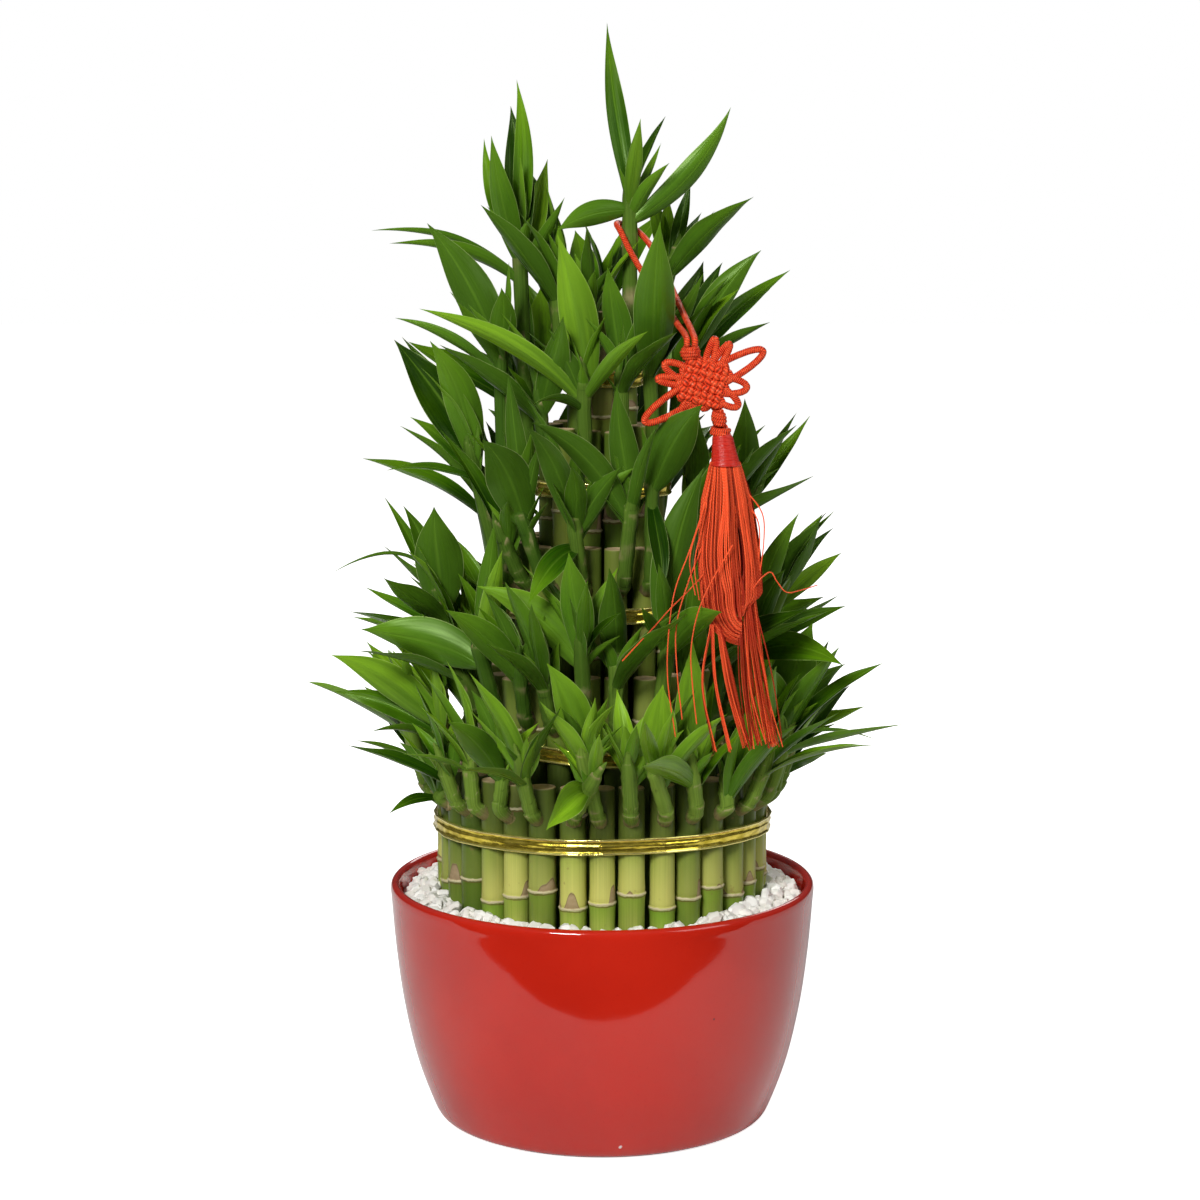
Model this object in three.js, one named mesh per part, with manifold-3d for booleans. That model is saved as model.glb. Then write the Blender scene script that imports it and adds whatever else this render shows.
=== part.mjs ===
// Lucky bamboo tower: rings of cut canes tied in five tiers with gold ribbon, each cane with a
// leafy shoot, standing in a red glazed bowl filled with white pebbles. A red knot with a tassel
// hangs by its cord from a top shoot. Millimetres, +Z up, origin at the middle of the bowl's foot.
// Angles about the tower's axis are in degrees: 0 at the front (-Y), 90 at the right (+X).
import * as THREE from 'three';
import { mergeVertices } from 'three/addons/utils/BufferGeometryUtils.js';
import Module from 'manifold-3d';

const wasm = await Module();
wasm.setup();

const UP = new THREE.Vector3(0, 0, 1);
const FRONT = new THREE.Vector3(0, -1, 0);
const GAP = 0.3;

// Bowl: [radius, height] down the outside from the foot to the rim, then down the inside
const BOWL_SIDES = 32;
const BOWL_OUTSIDE = [[70, 0], [74.5, 2], [78, 10], [84.2, 28], [89.6, 53], [92.9, 78], [95, 105]];
const BOWL_RIM = [[94.2, 107.3], [91.6, 107.3]];
const BOWL_INSIDE = [[90.4, 104], [88.4, 78], [84.4, 50], [77.4, 23], [68, 7]];
const BOWL_FLOOR = [62, 6];

// Pebbles: the bed stands off the bowl's inside by BED_GAP, and its top is stones in relief
const BED_SIDES = 46;
const BED_GAP = 0.8;
const BED_SIDE = [[67.2, 8], [77.4, 23], [84.4, 50], [88.4, 78], [89.3, 98]];
const BED_TOP = [[86.6, 101], [82.6, 103], [78.6, 104.6], [75.4, 104]];
const STONE_RELIEF = 2.6;
const STONE_SHIFT = 0.8;
const WELL_RADIUS = 75.3;
const WELL_FLOOR = 24;

// Tiers from the top one down. ring: radius of the canes' centres; groups of canes grow as one
// clump; node: height of the swollen joint ring; band: height of the ribbon; tilt: how far the
// ribbon's front and right sides stand above its middle
const TIERS = [
  { ring: 12, cane: 10.6, groups: 6, each: 1, top: 350, node: 316, band: 332.5, tilt: [0, 0] },
  { ring: 23.3, cane: 11.2, groups: 6, each: 2, top: 312, node: 267, band: 284.5, tilt: [0.6, 0] },
  { ring: 35.3, cane: 11.6, groups: 9, each: 2, top: 260, node: 213, band: 231.5, tilt: [0.5, 0.5] },
  { ring: 48, cane: 11.9, groups: 12, each: 2, top: 205, node: 180, band: 172, tilt: [0, -2.5] },
  { ring: 68, cane: 12.5, groups: 11, each: 3, top: 163, node: 109, band: 135, tilt: [3.5, 0] },
];
const CANE_SIDES = 8;
const CANE_FOOT = WELL_FLOOR + GAP;
const TOP_SPREAD = 2;
const TOP_STEP = 0.5;
const CENTRE_CANE_TOP = 361;
const COLLAR = 0.35;
const COLLAR_FLARE = 1.4;
const OUTER_SHARE = 0.4;
const COLLAR_STEP = 3.5;
const COLLAR_STEPS = 3;
const COLLAR_SPREAD = 2;

// Ribbons: a strip of gold foil round each tier
const RIBBON_WIDTH = 7;
const RIBBON_THICK = 0.7;
const RIBBON_SIDES = 16;

// Shoots: a stem from the cane's outer side just above the ribbon, leaves from its crown
const STEM_SIDES = 4;
const STEM_RADIUS = 3.5;
const CROWN_RADIUS = 3.3;
const STEM_ABOVE_BAND = 9;
const STEM_SINK = 5.2;
const SHOOT_TURN = [60, 12, 12, 12, 12];
const ELBOW_OUT = 4.2;
const ELBOW_RISE = 5;
const CROWN_SINK = 4.5;
const ROOT_STEP = 2;
const ROOT_OFFSET = 1.4;

// Leaves: stations along the blade as [share of length, share of width, share of keel depth]
const LONG_BLADE = [[0.24, 0.82, 1], [0.62, 0.86, 0.9]];
const SHORT_BLADE = [[0.34, 1, 1]];
const SHORT_LEAF = 46;
const KEEL = 0.8;
const KEEL_SHARE = 0.065;
const INWARD_ARCH = 0.15;
const ROOT_FREE = 0.02;
const FREE_FROM = [0.13, 0.22];
const LEAF_CLEARANCE = 0.45;
const LEAF_FLOOR = 124;

// The front shoots, read one by one: [tier, crown [x, y, z], leaves], and each leaf is
// [tip x, tip y, tip z, width, bow off its straight line, how far its face turns to the front]
const FRONT_SHOOTS = [
  [1, [11.7, -15, 410], [[2, -6, 485, 9, -4, 0.9], [16, -22, 444, 7, 2, 0.9],
    [26, -4, 434, 4, 2, 0.6], [55, -16, 449, 11, -12, 0.7], [-20, -34, 395, 10, 4, 0.6]]],
  [1, [31, 10, 382], [[65, 6, 411, 12, 5, 0.7], [39, 16, 418, 7, 2, 0.7],
    [45, 26, 403, 5, 3, 0.6]]],
  [1, [-5, -22, 367], [[-12, -10, 396, 13, 3, 0.9], [-3, -34, 381, 5, 2, 0.8]]],
  [2, [-36, -6, 391], [[-40, -14, 450, 13, 5, 0.9], [-37, -2, 461, 9, 3, 0.9],
    [-24, 6, 427, 11, -6, 0.8], [-47, -22, 437, 11, -4, 0.9], [-52, -6, 436, 8, -4, 0.9],
    [-16, -22, 411, 6, -3, 0.6], [-101, 4, 396, 5, 16, 0.4], [-92, -14, 391, 9, 14, 0.5]]],
  [2, [-8, -36, 330], [[-19, -42, 396, 17, 8, 1], [-77, -52, 365, 10, 16, 0.6],
    [19, -58, 357, 7, 5, 0.6], [-29, -56, 326, 5, 8, 0.6]]],
  [2, [20, -34, 341], [[28.5, -60, 404, 23, 2, 1], [6, -30, 368, 6, 2, 0.8],
    [43, -74, 380, 7.5, 2, 0.9]]],
  [2, [40, -4, 347], [[69, -8, 388, 13, 5, 0.8], [84, 4, 378, 9, 6, 0.7],
    [72, -18, 358, 6, 3, 0.6], [53, 12, 382, 9, 3, 0.8]]],
  [3, [-44, -20, 346], [[-75, -24, 400, 18, 7, 0.9], [-43, -34, 373, 12, 4, 0.9],
    [-53, -12, 374, 6, 3, 0.8], [-90, -14, 359, 6, 6, 0.6], [-62, -38, 368, 7, 4, 0.7]]],
  [3, [-57, -10, 299], [[-91, -14, 349, 19, 8, 0.9], [-74, -28, 350, 16, 6, 0.9],
    [-89, 6, 349, 9, 5, 0.7], [-86, -4, 313, 7, 4, 0.7], [-94, -18, 293, 5, 6, 0.5]]],
  [3, [-35, -46, 278], [[-50, -58, 312, 20, 5, 1], [-40, -44, 338, 9, 4, 0.8],
    [-26, -60, 310, 6, 3, 0.8]]],
  [3, [-12, -54, 275], [[-32, -58, 328, 5, 5, 0.8], [-31, -66, 319, 12, 7, 0.9],
    [-13, -70, 302, 10, 4, 0.9], [-31, -84, 244, 11, 10, 0.8], [9, -62, 301, 7, 3, 0.7]]],
  [3, [12, -52, 279], [[6, -60, 334, 13, 6, 0.95], [-30, -76, 320, 12, 14, 0.8],
    [23, -56, 319, 6, 3, 0.8]]],
  [3, [21, -50, 290], [[41, -80, 328, 18, 5, 0.95], [25, -74, 245, 8, 8, 0.8]]],
  [3, [65, -4, 278], [[84, 0, 319, 5, 4, 0.6], [92, -10, 315, 8, 4, 0.7],
    [62, -12, 324, 14, 4, 0.9], [52, 14, 308, 9, 3, 0.8]]],
  [4, [-71, -12, 233], [[-73, -24, 278, 22, 4, 1], [-119, -18, 247, 4, 42, 0.3],
    [-98, -2, 277, 6, 4, 0.6], [-89, 4, 274, 10, 5, 0.9], [-93, -30, 251, 11, 4, 0.9],
    [-106, 8, 238, 6, 4, 0.6]]],
  [4, [-53, -44, 218], [[-105, -54, 225, 20, 10, 0.95], [-46, -40, 274, 10, 5, 0.8],
    [-42, -58, 265, 9, 4, 0.8]]],
  [4, [-35, -58, 211], [[-65, -74, 243, 13, 6, 0.9], [-50, -52, 246, 7, 4, 0.8]]],
  [4, [-9, -74, 223], [[-53, -88, 249, 15, 12, 0.9], [-14, -82, 266, 14, 6, 1],
    [-6, -92, 258, 6, 3, 0.8], [7, -88, 256, 8, 4, 0.7]]],
  [4, [28, -62, 226], [[43, -58, 299, 18, 8, 0.9], [22, -70, 272, 8, 4, 0.8],
    [50, -84, 241, 12, 14, 0.8], [16, -78, 245, 6, 4, 0.7]]],
  [4, [65, -26, 222], [[77, -44, 257, 12, 4, 0.9], [85, -30, 276, 11, 4, 0.9],
    [102, -40, 215, 13, 12, 0.8], [108, -18, 232, 9, 6, 0.8]]],
  [4, [79, -4, 238], [[96, -10, 271, 13, 4, 0.9], [100, 8, 268, 9, 4, 0.7],
    [105, 20, 262, 6, 4, 0.6], [109, 0, 250, 8, 4, 0.8]]],
  [5, [-71, -14, 183], [[-119, -20, 212, 15, 8, 0.95], [-119, 0, 193, 10, 8, 0.7],
    [-106, 14, 208, 7, 4, 0.6], [-100, -36, 182, 5, 6, 0.6]]],
  [5, [-78, 16, 158], [[-110, 10, 171, 5, 6, 0.5], [-95, 20, 199, 13, 5, 0.8],
    [-106, 30, 183, 9, 5, 0.7]]],
  [5, [-69, -30, 153], [[-92, -36, 148, 5, 6, 0.6], [-89, -24, 175, 8, 5, 0.7]]],
  [5, [-42, -62, 170], [[-64, -76, 198, 13, 6, 0.95], [-56, -60, 204, 10, 4, 0.8]]],
  [5, [-8, -92, 181], [[-23, -98, 223, 15, 6, 1], [-3, -94, 210, 6, 2, 0.8]]],
  [5, [-4, -94, 171], [[-23, -112, 157, 13, 8, 0.9], [-1, -96, 197, 6, 2, 0.8]]],
  [5, [11, -92, 175], [[6, -98, 207, 9, 3, 0.9], [-11, -104, 199, 5, 7, 0.7],
    [14, -96, 199, 6, 2, 0.8]]],
  [5, [22, -88, 173], [[25, -92, 213, 16, 4, 1], [17, -100, 203, 7, 3, 0.8]]],
  [5, [38, -74, 171], [[38, -72, 227, 14, 6, 0.9], [16, -96, 183, 12, 8, 0.8],
    [49, -78, 207, 7, 3, 0.8]]],
  [5, [53, -56, 159], [[82, -72, 193, 8, 8, 0.7], [64, -64, 200, 9, 4, 0.8]]],
  [5, [81, -28, 184], [[91, -36, 229, 20, 6, 1], [70, -44, 216, 14, 5, 0.9],
    [109, -30, 204, 10, 7, 0.8], [120, -24, 175, 4, 10, 0.4]]],
  [5, [82, -8, 163], [[102, -16, 160, 7, 6, 0.6], [112, 6, 192, 8, 6, 0.7],
    [102, 14, 213, 12, 5, 0.9]]],
];
// A leaf whose place is taken moves this far back or forward, and its tip stays where it shows
const DEPTH_SHIFTS = [0, 5, -5, 10, -10, 16, -16, 24, -24, 34];

// The other shoots follow a rule: for each tier, the crown's rise above the stem's foot, how far
// it leans out, leaves on a shoot, and the leaves' length and pitch, all as [least, most]
const SHOOT_RULE = [
  { rise: [20, 34], lean: [4, 9], leaves: [2, 4], length: [42, 70], pitch: [38, 82] },
  { rise: [22, 44], lean: [6, 14], leaves: [3, 4], length: [44, 74], pitch: [30, 78] },
  { rise: [22, 44], lean: [6, 16], leaves: [2, 4], length: [44, 72], pitch: [25, 75] },
  { rise: [20, 38], lean: [6, 16], leaves: [2, 4], length: [42, 70], pitch: [20, 72] },
  { rise: [18, 34], lean: [5, 14], leaves: [2, 3], length: [38, 62], pitch: [15, 72] },
];
const RULE_WIDTH = [0.15, 0.26];
const RULE_BOW = [0.04, 0.16];
const CROWN_SCATTER = 3;
const RULE_SECTOR = 80;
const RULE_SCATTER = 25;
const RULE_ROLL = 0.75;
const RULE_TRIES = 14;
const TRY_SHRINK = 0.03;

// Cord, knot and tassel: the cord leaves the knot's top, goes round the top shoot and comes back
const CORD_DIAMETER = 2.7;
const CORD_SIDES = 8;
const CORD_STEPS = 28;
const CORD_ROUTE = [
  [38.3, -71, 350.6], [38.3, -71, 353], [37.2, -65, 356.4], [35, -55, 361], [31.9, -44, 367.5],
  [27.6, -31, 377], [23, -20, 386.5], [18.2, -12.4, 393.4], [13.4, -9.8, 397.4], [8.2, -10.6, 399.4],
  [6.2, -15.2, 399.4], [7.8, -19.4, 396.4], [11.4, -22.4, 389], [16.4, -26, 380.4], [22, -33, 371.6],
  [27.6, -43, 364.4], [32, -57, 358], [34.4, -67, 355], [35, -71, 353], [35, -71, 350.6],
];
const KNOT_CENTRE = [42, -71, 335];
const KNOT_TILT = 16;
const KNOT_BLOCK = 17.5;
const KNOT_THICK = 6;
const KNOT_WEAVE = 4;
const KNOT_BUMP = 1.6;
const KNOT_LOOPS = [
  // [angle of the loop in the knot's plane, its reach from the centre, its width]
  [76, 19, 3.4], [57, 19.5, 3.4], [29, 28, 8], [-5, 18, 7], [-33, 17, 6], [-124, 20, 4], [-147, 29, 8],
  [174, 19, 3.6], [153, 18, 6],
];
const KNOT_BUTTON = [[-6, 10, 2.2], [-5.6, 12.6, 3.6], [-5.3, 15.3, 3.3]];
const LOOP_RADIUS = 1.35;
const LOOP_SIDES = 4;
const LOOP_STEPS = 6;
const LOOP_ROOT = 0.32;
const LOOP_FULLNESS = 0.8;
const TASSEL = [
  // [x, y, z, radius] down the tassel: its own small knot, the bound head, the skirt and its hem
  [48, -71.5, 323.7, 1.5], [48, -72, 320.6, 3.4], [48.8, -73, 317.3, 2.6], [49.6, -74, 315.9, 4.8],
  [50.9, -77, 303.6, 5.6], [51, -77.6, 302, 6.2], [51.6, -80, 288, 9.6], [52.8, -84.5, 262, 12.3],
  [53.8, -87, 244, 12.6], [54.6, -88.5, 230, 10.8], [55, -90, 219, 8],
];
const SKIRT_FROM = 5;
const TASSEL_FLUTES = 6;
const FLUTE_DEPTH = 0.82;
const TASSEL_DEPTH = 0.62;
const STRANDS = [
  // [foot x, foot y, foot z, place round the hem in degrees]
  [60, -94, 186, 80], [66, -90, 187, 120], [45, -92, 190, 230], [52, -95, 184, 0], [40, -96, 200, 280],
];
const STRAND_RADIUS = 1.6;
const STRAND_SIDES = 4;
const STRAND_TAPER = 0.6;
const STRAND_PLACE = 0.55;
const STRAND_SINK = 5;

const COLORS = {
  glaze: 0xb81f14, pebble: 0xeeece2, cane: 0x8fa34a, leaf: 0x3f7a22, gold: 0xd8b42a, red: 0xd8331c,
};

// What each draw settles
const SALT = {
  level: 1, joint: 2, top: 3, stoneHeight: 7, stoneShift: 8, rise: 11, lean: 12, turn: 13, count: 14,
  length: 21, pitch: 22, heading: 23, roll: 24, width: 25, bow: 26,
};

// A number from 0 to 1 that depends only on the whole numbers given
function draw(...keys) {
  let h = 0x9e3779b9;
  for (const key of keys) {
    h = Math.imul(h ^ (key + 0x7ed55d16), 0x85ebca6b);
    h ^= h >>> 13;
    h = Math.imul(h, 0xc2b2ae35);
    h ^= h >>> 16;
  }
  return (h >>> 0) / 4294967296;
}

const between = ([low, high], share) => low + (high - low) * share;
const spread = (reach, share) => (share * 2 - 1) * reach;

// The point at an angle about the tower's axis
function around(angle, radius, z) {
  const a = THREE.MathUtils.degToRad(angle);
  return new THREE.Vector3(radius * Math.sin(a), -radius * Math.cos(a), z);
}

// A closed skin over rings of equal count, one ring after another; a ring may be a single point.
// The end rings are closed by fans, or by the given triangles where their outline is hollow
function loft(rings, cap = null) {
  const points = rings.flat();
  const faces = [];
  const starts = [];
  rings.reduce((sum, ring) => (starts.push(sum), sum + ring.length), 0);
  const last = rings.length - 1;
  for (let i = 0; i < last; i++) {
    const a = starts[i];
    const b = starts[i + 1];
    const n = rings[i].length;
    const m = rings[i + 1].length;
    for (let k = 0; k < Math.max(n, m); k++) {
      const next = (k + 1) % Math.max(n, m);
      if (n === 1) faces.push([a, b + k, b + next]);
      else if (m === 1) faces.push([a + k, b, a + next]);
      else faces.push([a + k, b + k, b + next], [a + k, b + next, a + next]);
    }
  }
  const fan = (ring) => ring.slice(2).map((_, k) => [0, k + 1, k + 2]);
  for (const [a, b, c] of cap ?? fan(rings[0])) faces.push([a, b, c]);
  for (const [a, b, c] of cap ?? fan(rings[last])) {
    faces.push([starts[last] + a, starts[last] + c, starts[last] + b]);
  }
  return facing(points, faces);
}

// A BufferGeometry from points and faces, turned right side out
function facing(points, faces) {
  const volume = faces.reduce((sum, [a, b, c]) => {
    const side = new THREE.Vector3().crossVectors(points[b], points[c]);
    return sum + points[a].dot(side);
  }, 0);
  const outward = volume < 0 ? faces.map(([a, b, c]) => [a, c, b]) : faces;
  const geometry = new THREE.BufferGeometry().setFromPoints(points);
  geometry.setIndex(outward.flat());
  return geometry;
}

function toSolid(geometry) {
  const bare = geometry.clone();
  bare.deleteAttribute('normal');
  bare.deleteAttribute('uv');
  const welded = mergeVertices(bare, 1e-4);
  const index = welded.index.array;
  const kept = [];
  for (let i = 0; i < index.length; i += 3) {
    const [a, b, c] = index.slice(i, i + 3);
    if (a !== b && b !== c && c !== a) kept.push(a, b, c);
  }
  return new wasm.Manifold(new wasm.Mesh({
    numProp: 3,
    vertProperties: Float32Array.from(welded.attributes.position.array),
    triVerts: Uint32Array.from(kept),
  }));
}

function toGeometry(solid) {
  const mesh = solid.getMesh();
  const geometry = new THREE.BufferGeometry();
  geometry.setAttribute('position', new THREE.BufferAttribute(mesh.vertProperties, 3));
  geometry.setIndex(new THREE.BufferAttribute(mesh.triVerts, 1));
  return geometry;
}

// A ring of points about a centre, square to a direction; the first point lies towards `start`
function ringAt(centre, direction, start, radius, sides, turn = 0.5) {
  const along = direction.clone().normalize();
  const x = start.clone().addScaledVector(along, -start.dot(along)).normalize();
  const y = new THREE.Vector3().crossVectors(along, x);
  return Array.from({ length: sides }, (_, k) => {
    const a = ((k + turn) / sides) * 2 * Math.PI;
    return centre.clone().addScaledVector(x, radius * Math.cos(a)).addScaledVector(y, radius * Math.sin(a));
  });
}

// The outline of a clump of canes. Each cane is eight-sided and shares a flat with its neighbour.
// A point holds its place and the canes that it belongs to
function clumpOutline(angles, ring, across) {
  const half = across / 2;
  const flat = half * Math.tan(Math.PI / CANE_SIDES);
  const last = angles.length - 1;
  const own = (k, out, side) => {
    const turn = THREE.MathUtils.radToDeg(Math.atan2(side, ring + out));
    return { at: around(angles[k] + turn, Math.hypot(ring + out, side), 0), canes: [k] };
  };
  const shared = (k, out) => (
    { at: around((angles[k] + angles[k + 1]) / 2, ring + out, 0), canes: [k, k + 1] }
  );
  const outline = [own(0, flat, -half)];
  for (let k = 0; k <= last; k++) {
    outline.push(own(k, half, -flat), own(k, half, flat), k === last ? own(k, flat, half) : shared(k, flat));
  }
  outline.push(own(last, -flat, half));
  for (let k = last; k >= 0; k--) {
    outline.push(own(k, -half, flat), own(k, -half, -flat));
    outline.push(k === 0 ? own(k, -flat, -half) : shared(k - 1, -flat));
  }
  return outline;
}

// A clump of canes from foot to cut tops, each with a swollen joint ring at its own height
function canes(places, ring, across) {
  const outline = clumpOutline(places.map((place) => place.angle), ring, across);
  const section = (height, swell) => outline.map(({ at, canes: ids }) => {
    const z = ids.reduce((sum, id) => sum + height(places[id]), 0) / ids.length;
    const outer = at.length() > ring + across * OUTER_SHARE;
    return at.clone().setLength(at.length() + (outer ? swell : 0)).setZ(z);
  });
  const cap = THREE.ShapeUtils.triangulateShape(outline.map(({ at }) => new THREE.Vector2(at.x, at.y)), []);
  return loft([
    section(() => CANE_FOOT, 0), section((place) => place.joint - COLLAR_FLARE, 0),
    section((place) => place.joint, COLLAR), section((place) => place.top, 0),
  ], cap);
}

// The stem of a shoot, from a point inside its cane out to an elbow and up to the crown
function stem(shoot, grown = 0) {
  const { foot, elbow, crown } = shoot;
  const out = elbow.clone().sub(foot);
  const up = crown.clone().sub(elbow);
  const bend = out.clone().normalize().add(up.clone().normalize());
  return loft([
    [foot],
    ringAt(elbow, bend, UP.clone().sub(out), STEM_RADIUS + grown, STEM_SIDES),
    ringAt(crown, up, UP.clone().sub(out), CROWN_RADIUS + grown, STEM_SIDES),
  ]);
}

// One blade along a curve: a flat upper face and a keel below, pointed at the root and the tip. A
// test blade is grown by a clearance, and may begin part of the way along
function blade(leaf, grown = 0, from = 0) {
  const { root, tip, width, bow, face } = leaf;
  const chord = tip.clone().sub(root);
  const length = chord.length();
  const along = chord.clone().divideScalar(length);
  const rise = leafRise(along, leaf.outward);
  const middle = root.clone().lerp(tip, 0.5).addScaledVector(rise, bow);
  const curve = new THREE.QuadraticBezierCurve3(root, middle, tip);
  const stations = length > SHORT_LEAF ? LONG_BLADE : SHORT_BLADE;
  const [first, wideFirst, deepFirst] = stations[0];
  const start = from > 0 ? [[from, (wideFirst * from) / first, (deepFirst * from) / first]] : [];
  const end = grown > 0 ? [[1, 0, 0]] : [];
  const rings = [...start, ...stations, ...end].map(([share, wide, deep]) => {
    const centre = curve.getPoint(share);
    const tangent = curve.getTangent(share);
    const normal = face.clone().addScaledVector(tangent, -face.dot(tangent)).normalize();
    const side = new THREE.Vector3().crossVectors(tangent, normal);
    const half = (width * wide) / 2 + grown;
    return [
      centre.clone().addScaledVector(side, half).addScaledVector(normal, grown),
      centre.clone().addScaledVector(side, -half).addScaledVector(normal, grown),
      centre.clone().addScaledVector(normal, -(KEEL + KEEL_SHARE * width) * deep - grown),
    ];
  });
  return loft([...(from > 0 ? [] : [[root]]), ...rings, ...(grown > 0 ? [] : [[tip]])]);
}

// The direction square to a leaf's chord in which it arches: upward, or inward if it is upright
function leafRise(along, outward) {
  const rise = UP.clone().addScaledVector(along, -along.z);
  rise.addScaledVector(outward, -INWARD_ARCH);
  return rise.addScaledVector(along, -rise.dot(along)).normalize();
}

// What has been placed: every solid with its box and owner, so that a leaf can be kept clear
const placed = [];

function settle(solid, owner, fixed = false) {
  placed.push({ solid, box: boxOf(solid), owner, fixed });
}

function boxOf(solid) {
  const { min, max } = solid.boundingBox();
  return new THREE.Box3(new THREE.Vector3(...min), new THREE.Vector3(...max));
}

// Whether a solid misses everything that `counts` picks out
function isClear(solid, counts) {
  const box = boxOf(solid);
  return placed.every((other) => (
    !counts(other) || !box.intersectsBox(other.box) || solid.intersect(other.solid).isEmpty()
  ));
}

// Clumps of canes: the node's name, the solids fused in it, and its canes' places
function makeClumps() {
  const clumps = [];
  TIERS.forEach((tier, t) => {
    const step = 2 * Math.asin(tier.cane / (2 * tier.ring));
    for (let g = 0; g < tier.groups; g++) {
      const clump = { name: `tier${t + 1}_canes_${g + 1}`, tier: t, solids: [], canes: [] };
      for (let k = 0; k < tier.each; k++) {
        const angle = (360 / tier.groups) * g + THREE.MathUtils.radToDeg(step) * (k - (tier.each - 1) / 2);
        clump.canes.push({ angle, ring: tier.ring, index: g * tier.each + k });
      }
      clumps.push(clump);
    }
  });
  const middle = { angle: 0, ring: 0, index: TIERS[0].groups };
  clumps.push({ name: 'centre_cane', tier: 0, solids: [], canes: [middle] });
  for (const clump of clumps) {
    const tier = TIERS[clump.tier];
    const { ring } = clump.canes[0];
    const level = spread(TOP_SPREAD, draw(clump.tier, clump.canes[0].index, SALT.level));
    for (const place of clump.canes) {
      const step = spread(TOP_STEP, draw(clump.tier, place.index, SALT.top));
      place.top = ring === 0 ? CENTRE_CANE_TOP : tier.top + level + step;
      const high = COLLAR_SPREAD * draw(clump.tier, place.index, SALT.joint);
      place.joint = tier.node + COLLAR_STEP * (place.index % COLLAR_STEPS) + high;
    }
    const solid = toSolid(canes(clump.canes, ring, tier.cane));
    clump.solids.push(solid);
    settle(solid, clump.name, true);
  }
  return clumps;
}

// The height of a tier's ribbon at an angle
function bandHeight(tier, angle) {
  const a = THREE.MathUtils.degToRad(angle);
  return tier.band + tier.tilt[0] * Math.cos(a) + tier.tilt[1] * Math.sin(a);
}

function ribbon(tier, sides) {
  const reach = Math.hypot(tier.ring + tier.cane / 2, (tier.cane / 2) * Math.tan(Math.PI / CANE_SIDES));
  const inner = (reach + GAP) / Math.cos(Math.PI / sides);
  const outer = inner + RIBBON_THICK;
  const points = [];
  const faces = [];
  for (let k = 0; k < sides; k++) {
    const angle = (360 / sides) * k;
    const z = bandHeight(tier, angle);
    for (const [radius, dz] of [[inner, -0.5], [outer, -0.5], [outer, 0.5], [inner, 0.5]]) {
      points.push(around(angle, radius, z + dz * RIBBON_WIDTH));
    }
    const next = ((k + 1) % sides) * 4;
    for (let j = 0; j < 4; j++) {
      const a = k * 4 + j;
      const b = k * 4 + ((j + 1) % 4);
      const c = next + ((j + 1) % 4);
      const d = next + j;
      faces.push([a, b, c], [a, c, d]);
    }
  }
  return facing(points, faces);
}

function bowl() {
  const profile = [[0, 0], ...BOWL_OUTSIDE, ...BOWL_RIM, ...BOWL_INSIDE, BOWL_FLOOR, [0, BOWL_FLOOR[1]]];
  return lathe(profile, BOWL_SIDES);
}

function lathe(profile, sides) {
  const points = profile.map(([radius, z]) => new THREE.Vector2(radius, z));
  return new THREE.LatheGeometry(points, sides).rotateX(Math.PI / 2);
}

// The pebble bed: a round block with a plain well for the canes and stones in relief on top
function pebbleBed() {
  const bottom = BOWL_FLOOR[1] + GAP;
  const sideRing = ([radius, z]) => Array.from({ length: BED_SIDES }, (_, k) => (
    around((360 / BED_SIDES) * k, radius - BED_GAP, z)
  ));
  const topRing = ([radius, z], row) => Array.from({ length: BED_SIDES }, (_, k) => {
    const inner = row === BED_TOP.length - 1;
    const high = spread(STONE_RELIEF, draw(k, row, SALT.stoneHeight));
    const shift = inner ? 0 : spread(STONE_SHIFT, draw(k, row, SALT.stoneShift));
    return around((360 / BED_SIDES) * (k + (inner ? 0 : 0.5 * (row % 2))), radius + shift, z + high);
  });
  const wellRing = (z) => Array.from({ length: BED_SIDES }, (_, k) => (
    around((360 / BED_SIDES) * k, WELL_RADIUS, z)
  ));
  return loft([
    [new THREE.Vector3(0, 0, bottom)], sideRing([BOWL_FLOOR[0], bottom]),
    ...BED_SIDE.map(sideRing), ...BED_TOP.map(topRing),
    wellRing(WELL_FLOOR), [new THREE.Vector3(0, 0, WELL_FLOOR)],
  ]);
}

// The shoots: the read ones take the nearest free cane, and every other cane gets one by rule
function makeShoots(clumps) {
  const shoots = [];
  const free = clumps.flatMap((clump) => clump.canes.map((place) => ({ clump, place })));
  for (const [tierNumber, crown, leaves] of FRONT_SHOOTS) {
    const ofTier = free.filter(({ clump, place }) => clump.tier === tierNumber - 1 && place.ring > 0);
    const angle = THREE.MathUtils.radToDeg(Math.atan2(crown[0], -crown[1]));
    const away = ({ place }) => Math.abs(((place.angle - angle + 900) % 360) - 180);
    const nearest = ofTier.sort((a, b) => away(a) - away(b))[0];
    free.splice(free.indexOf(nearest), 1);
    shoots.push(makeShoot(nearest, new THREE.Vector3(...crown), leaves));
  }
  for (const shoot of shoots) settleStem(shoot);
  for (const spot of free.filter(({ place }) => place.ring > 0)) {
    const others = ({ owner }) => owner !== spot.clump.name;
    const tries = Array.from({ length: RULE_TRIES }, (_, attempt) => ruleShoot(spot, attempt));
    const shoot = tries.find((one) => isClear(toSolid(stem(one, GAP)), others));
    if (shoot) shoots.push(settleStem(shoot));
  }
  return shoots;
}

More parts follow.
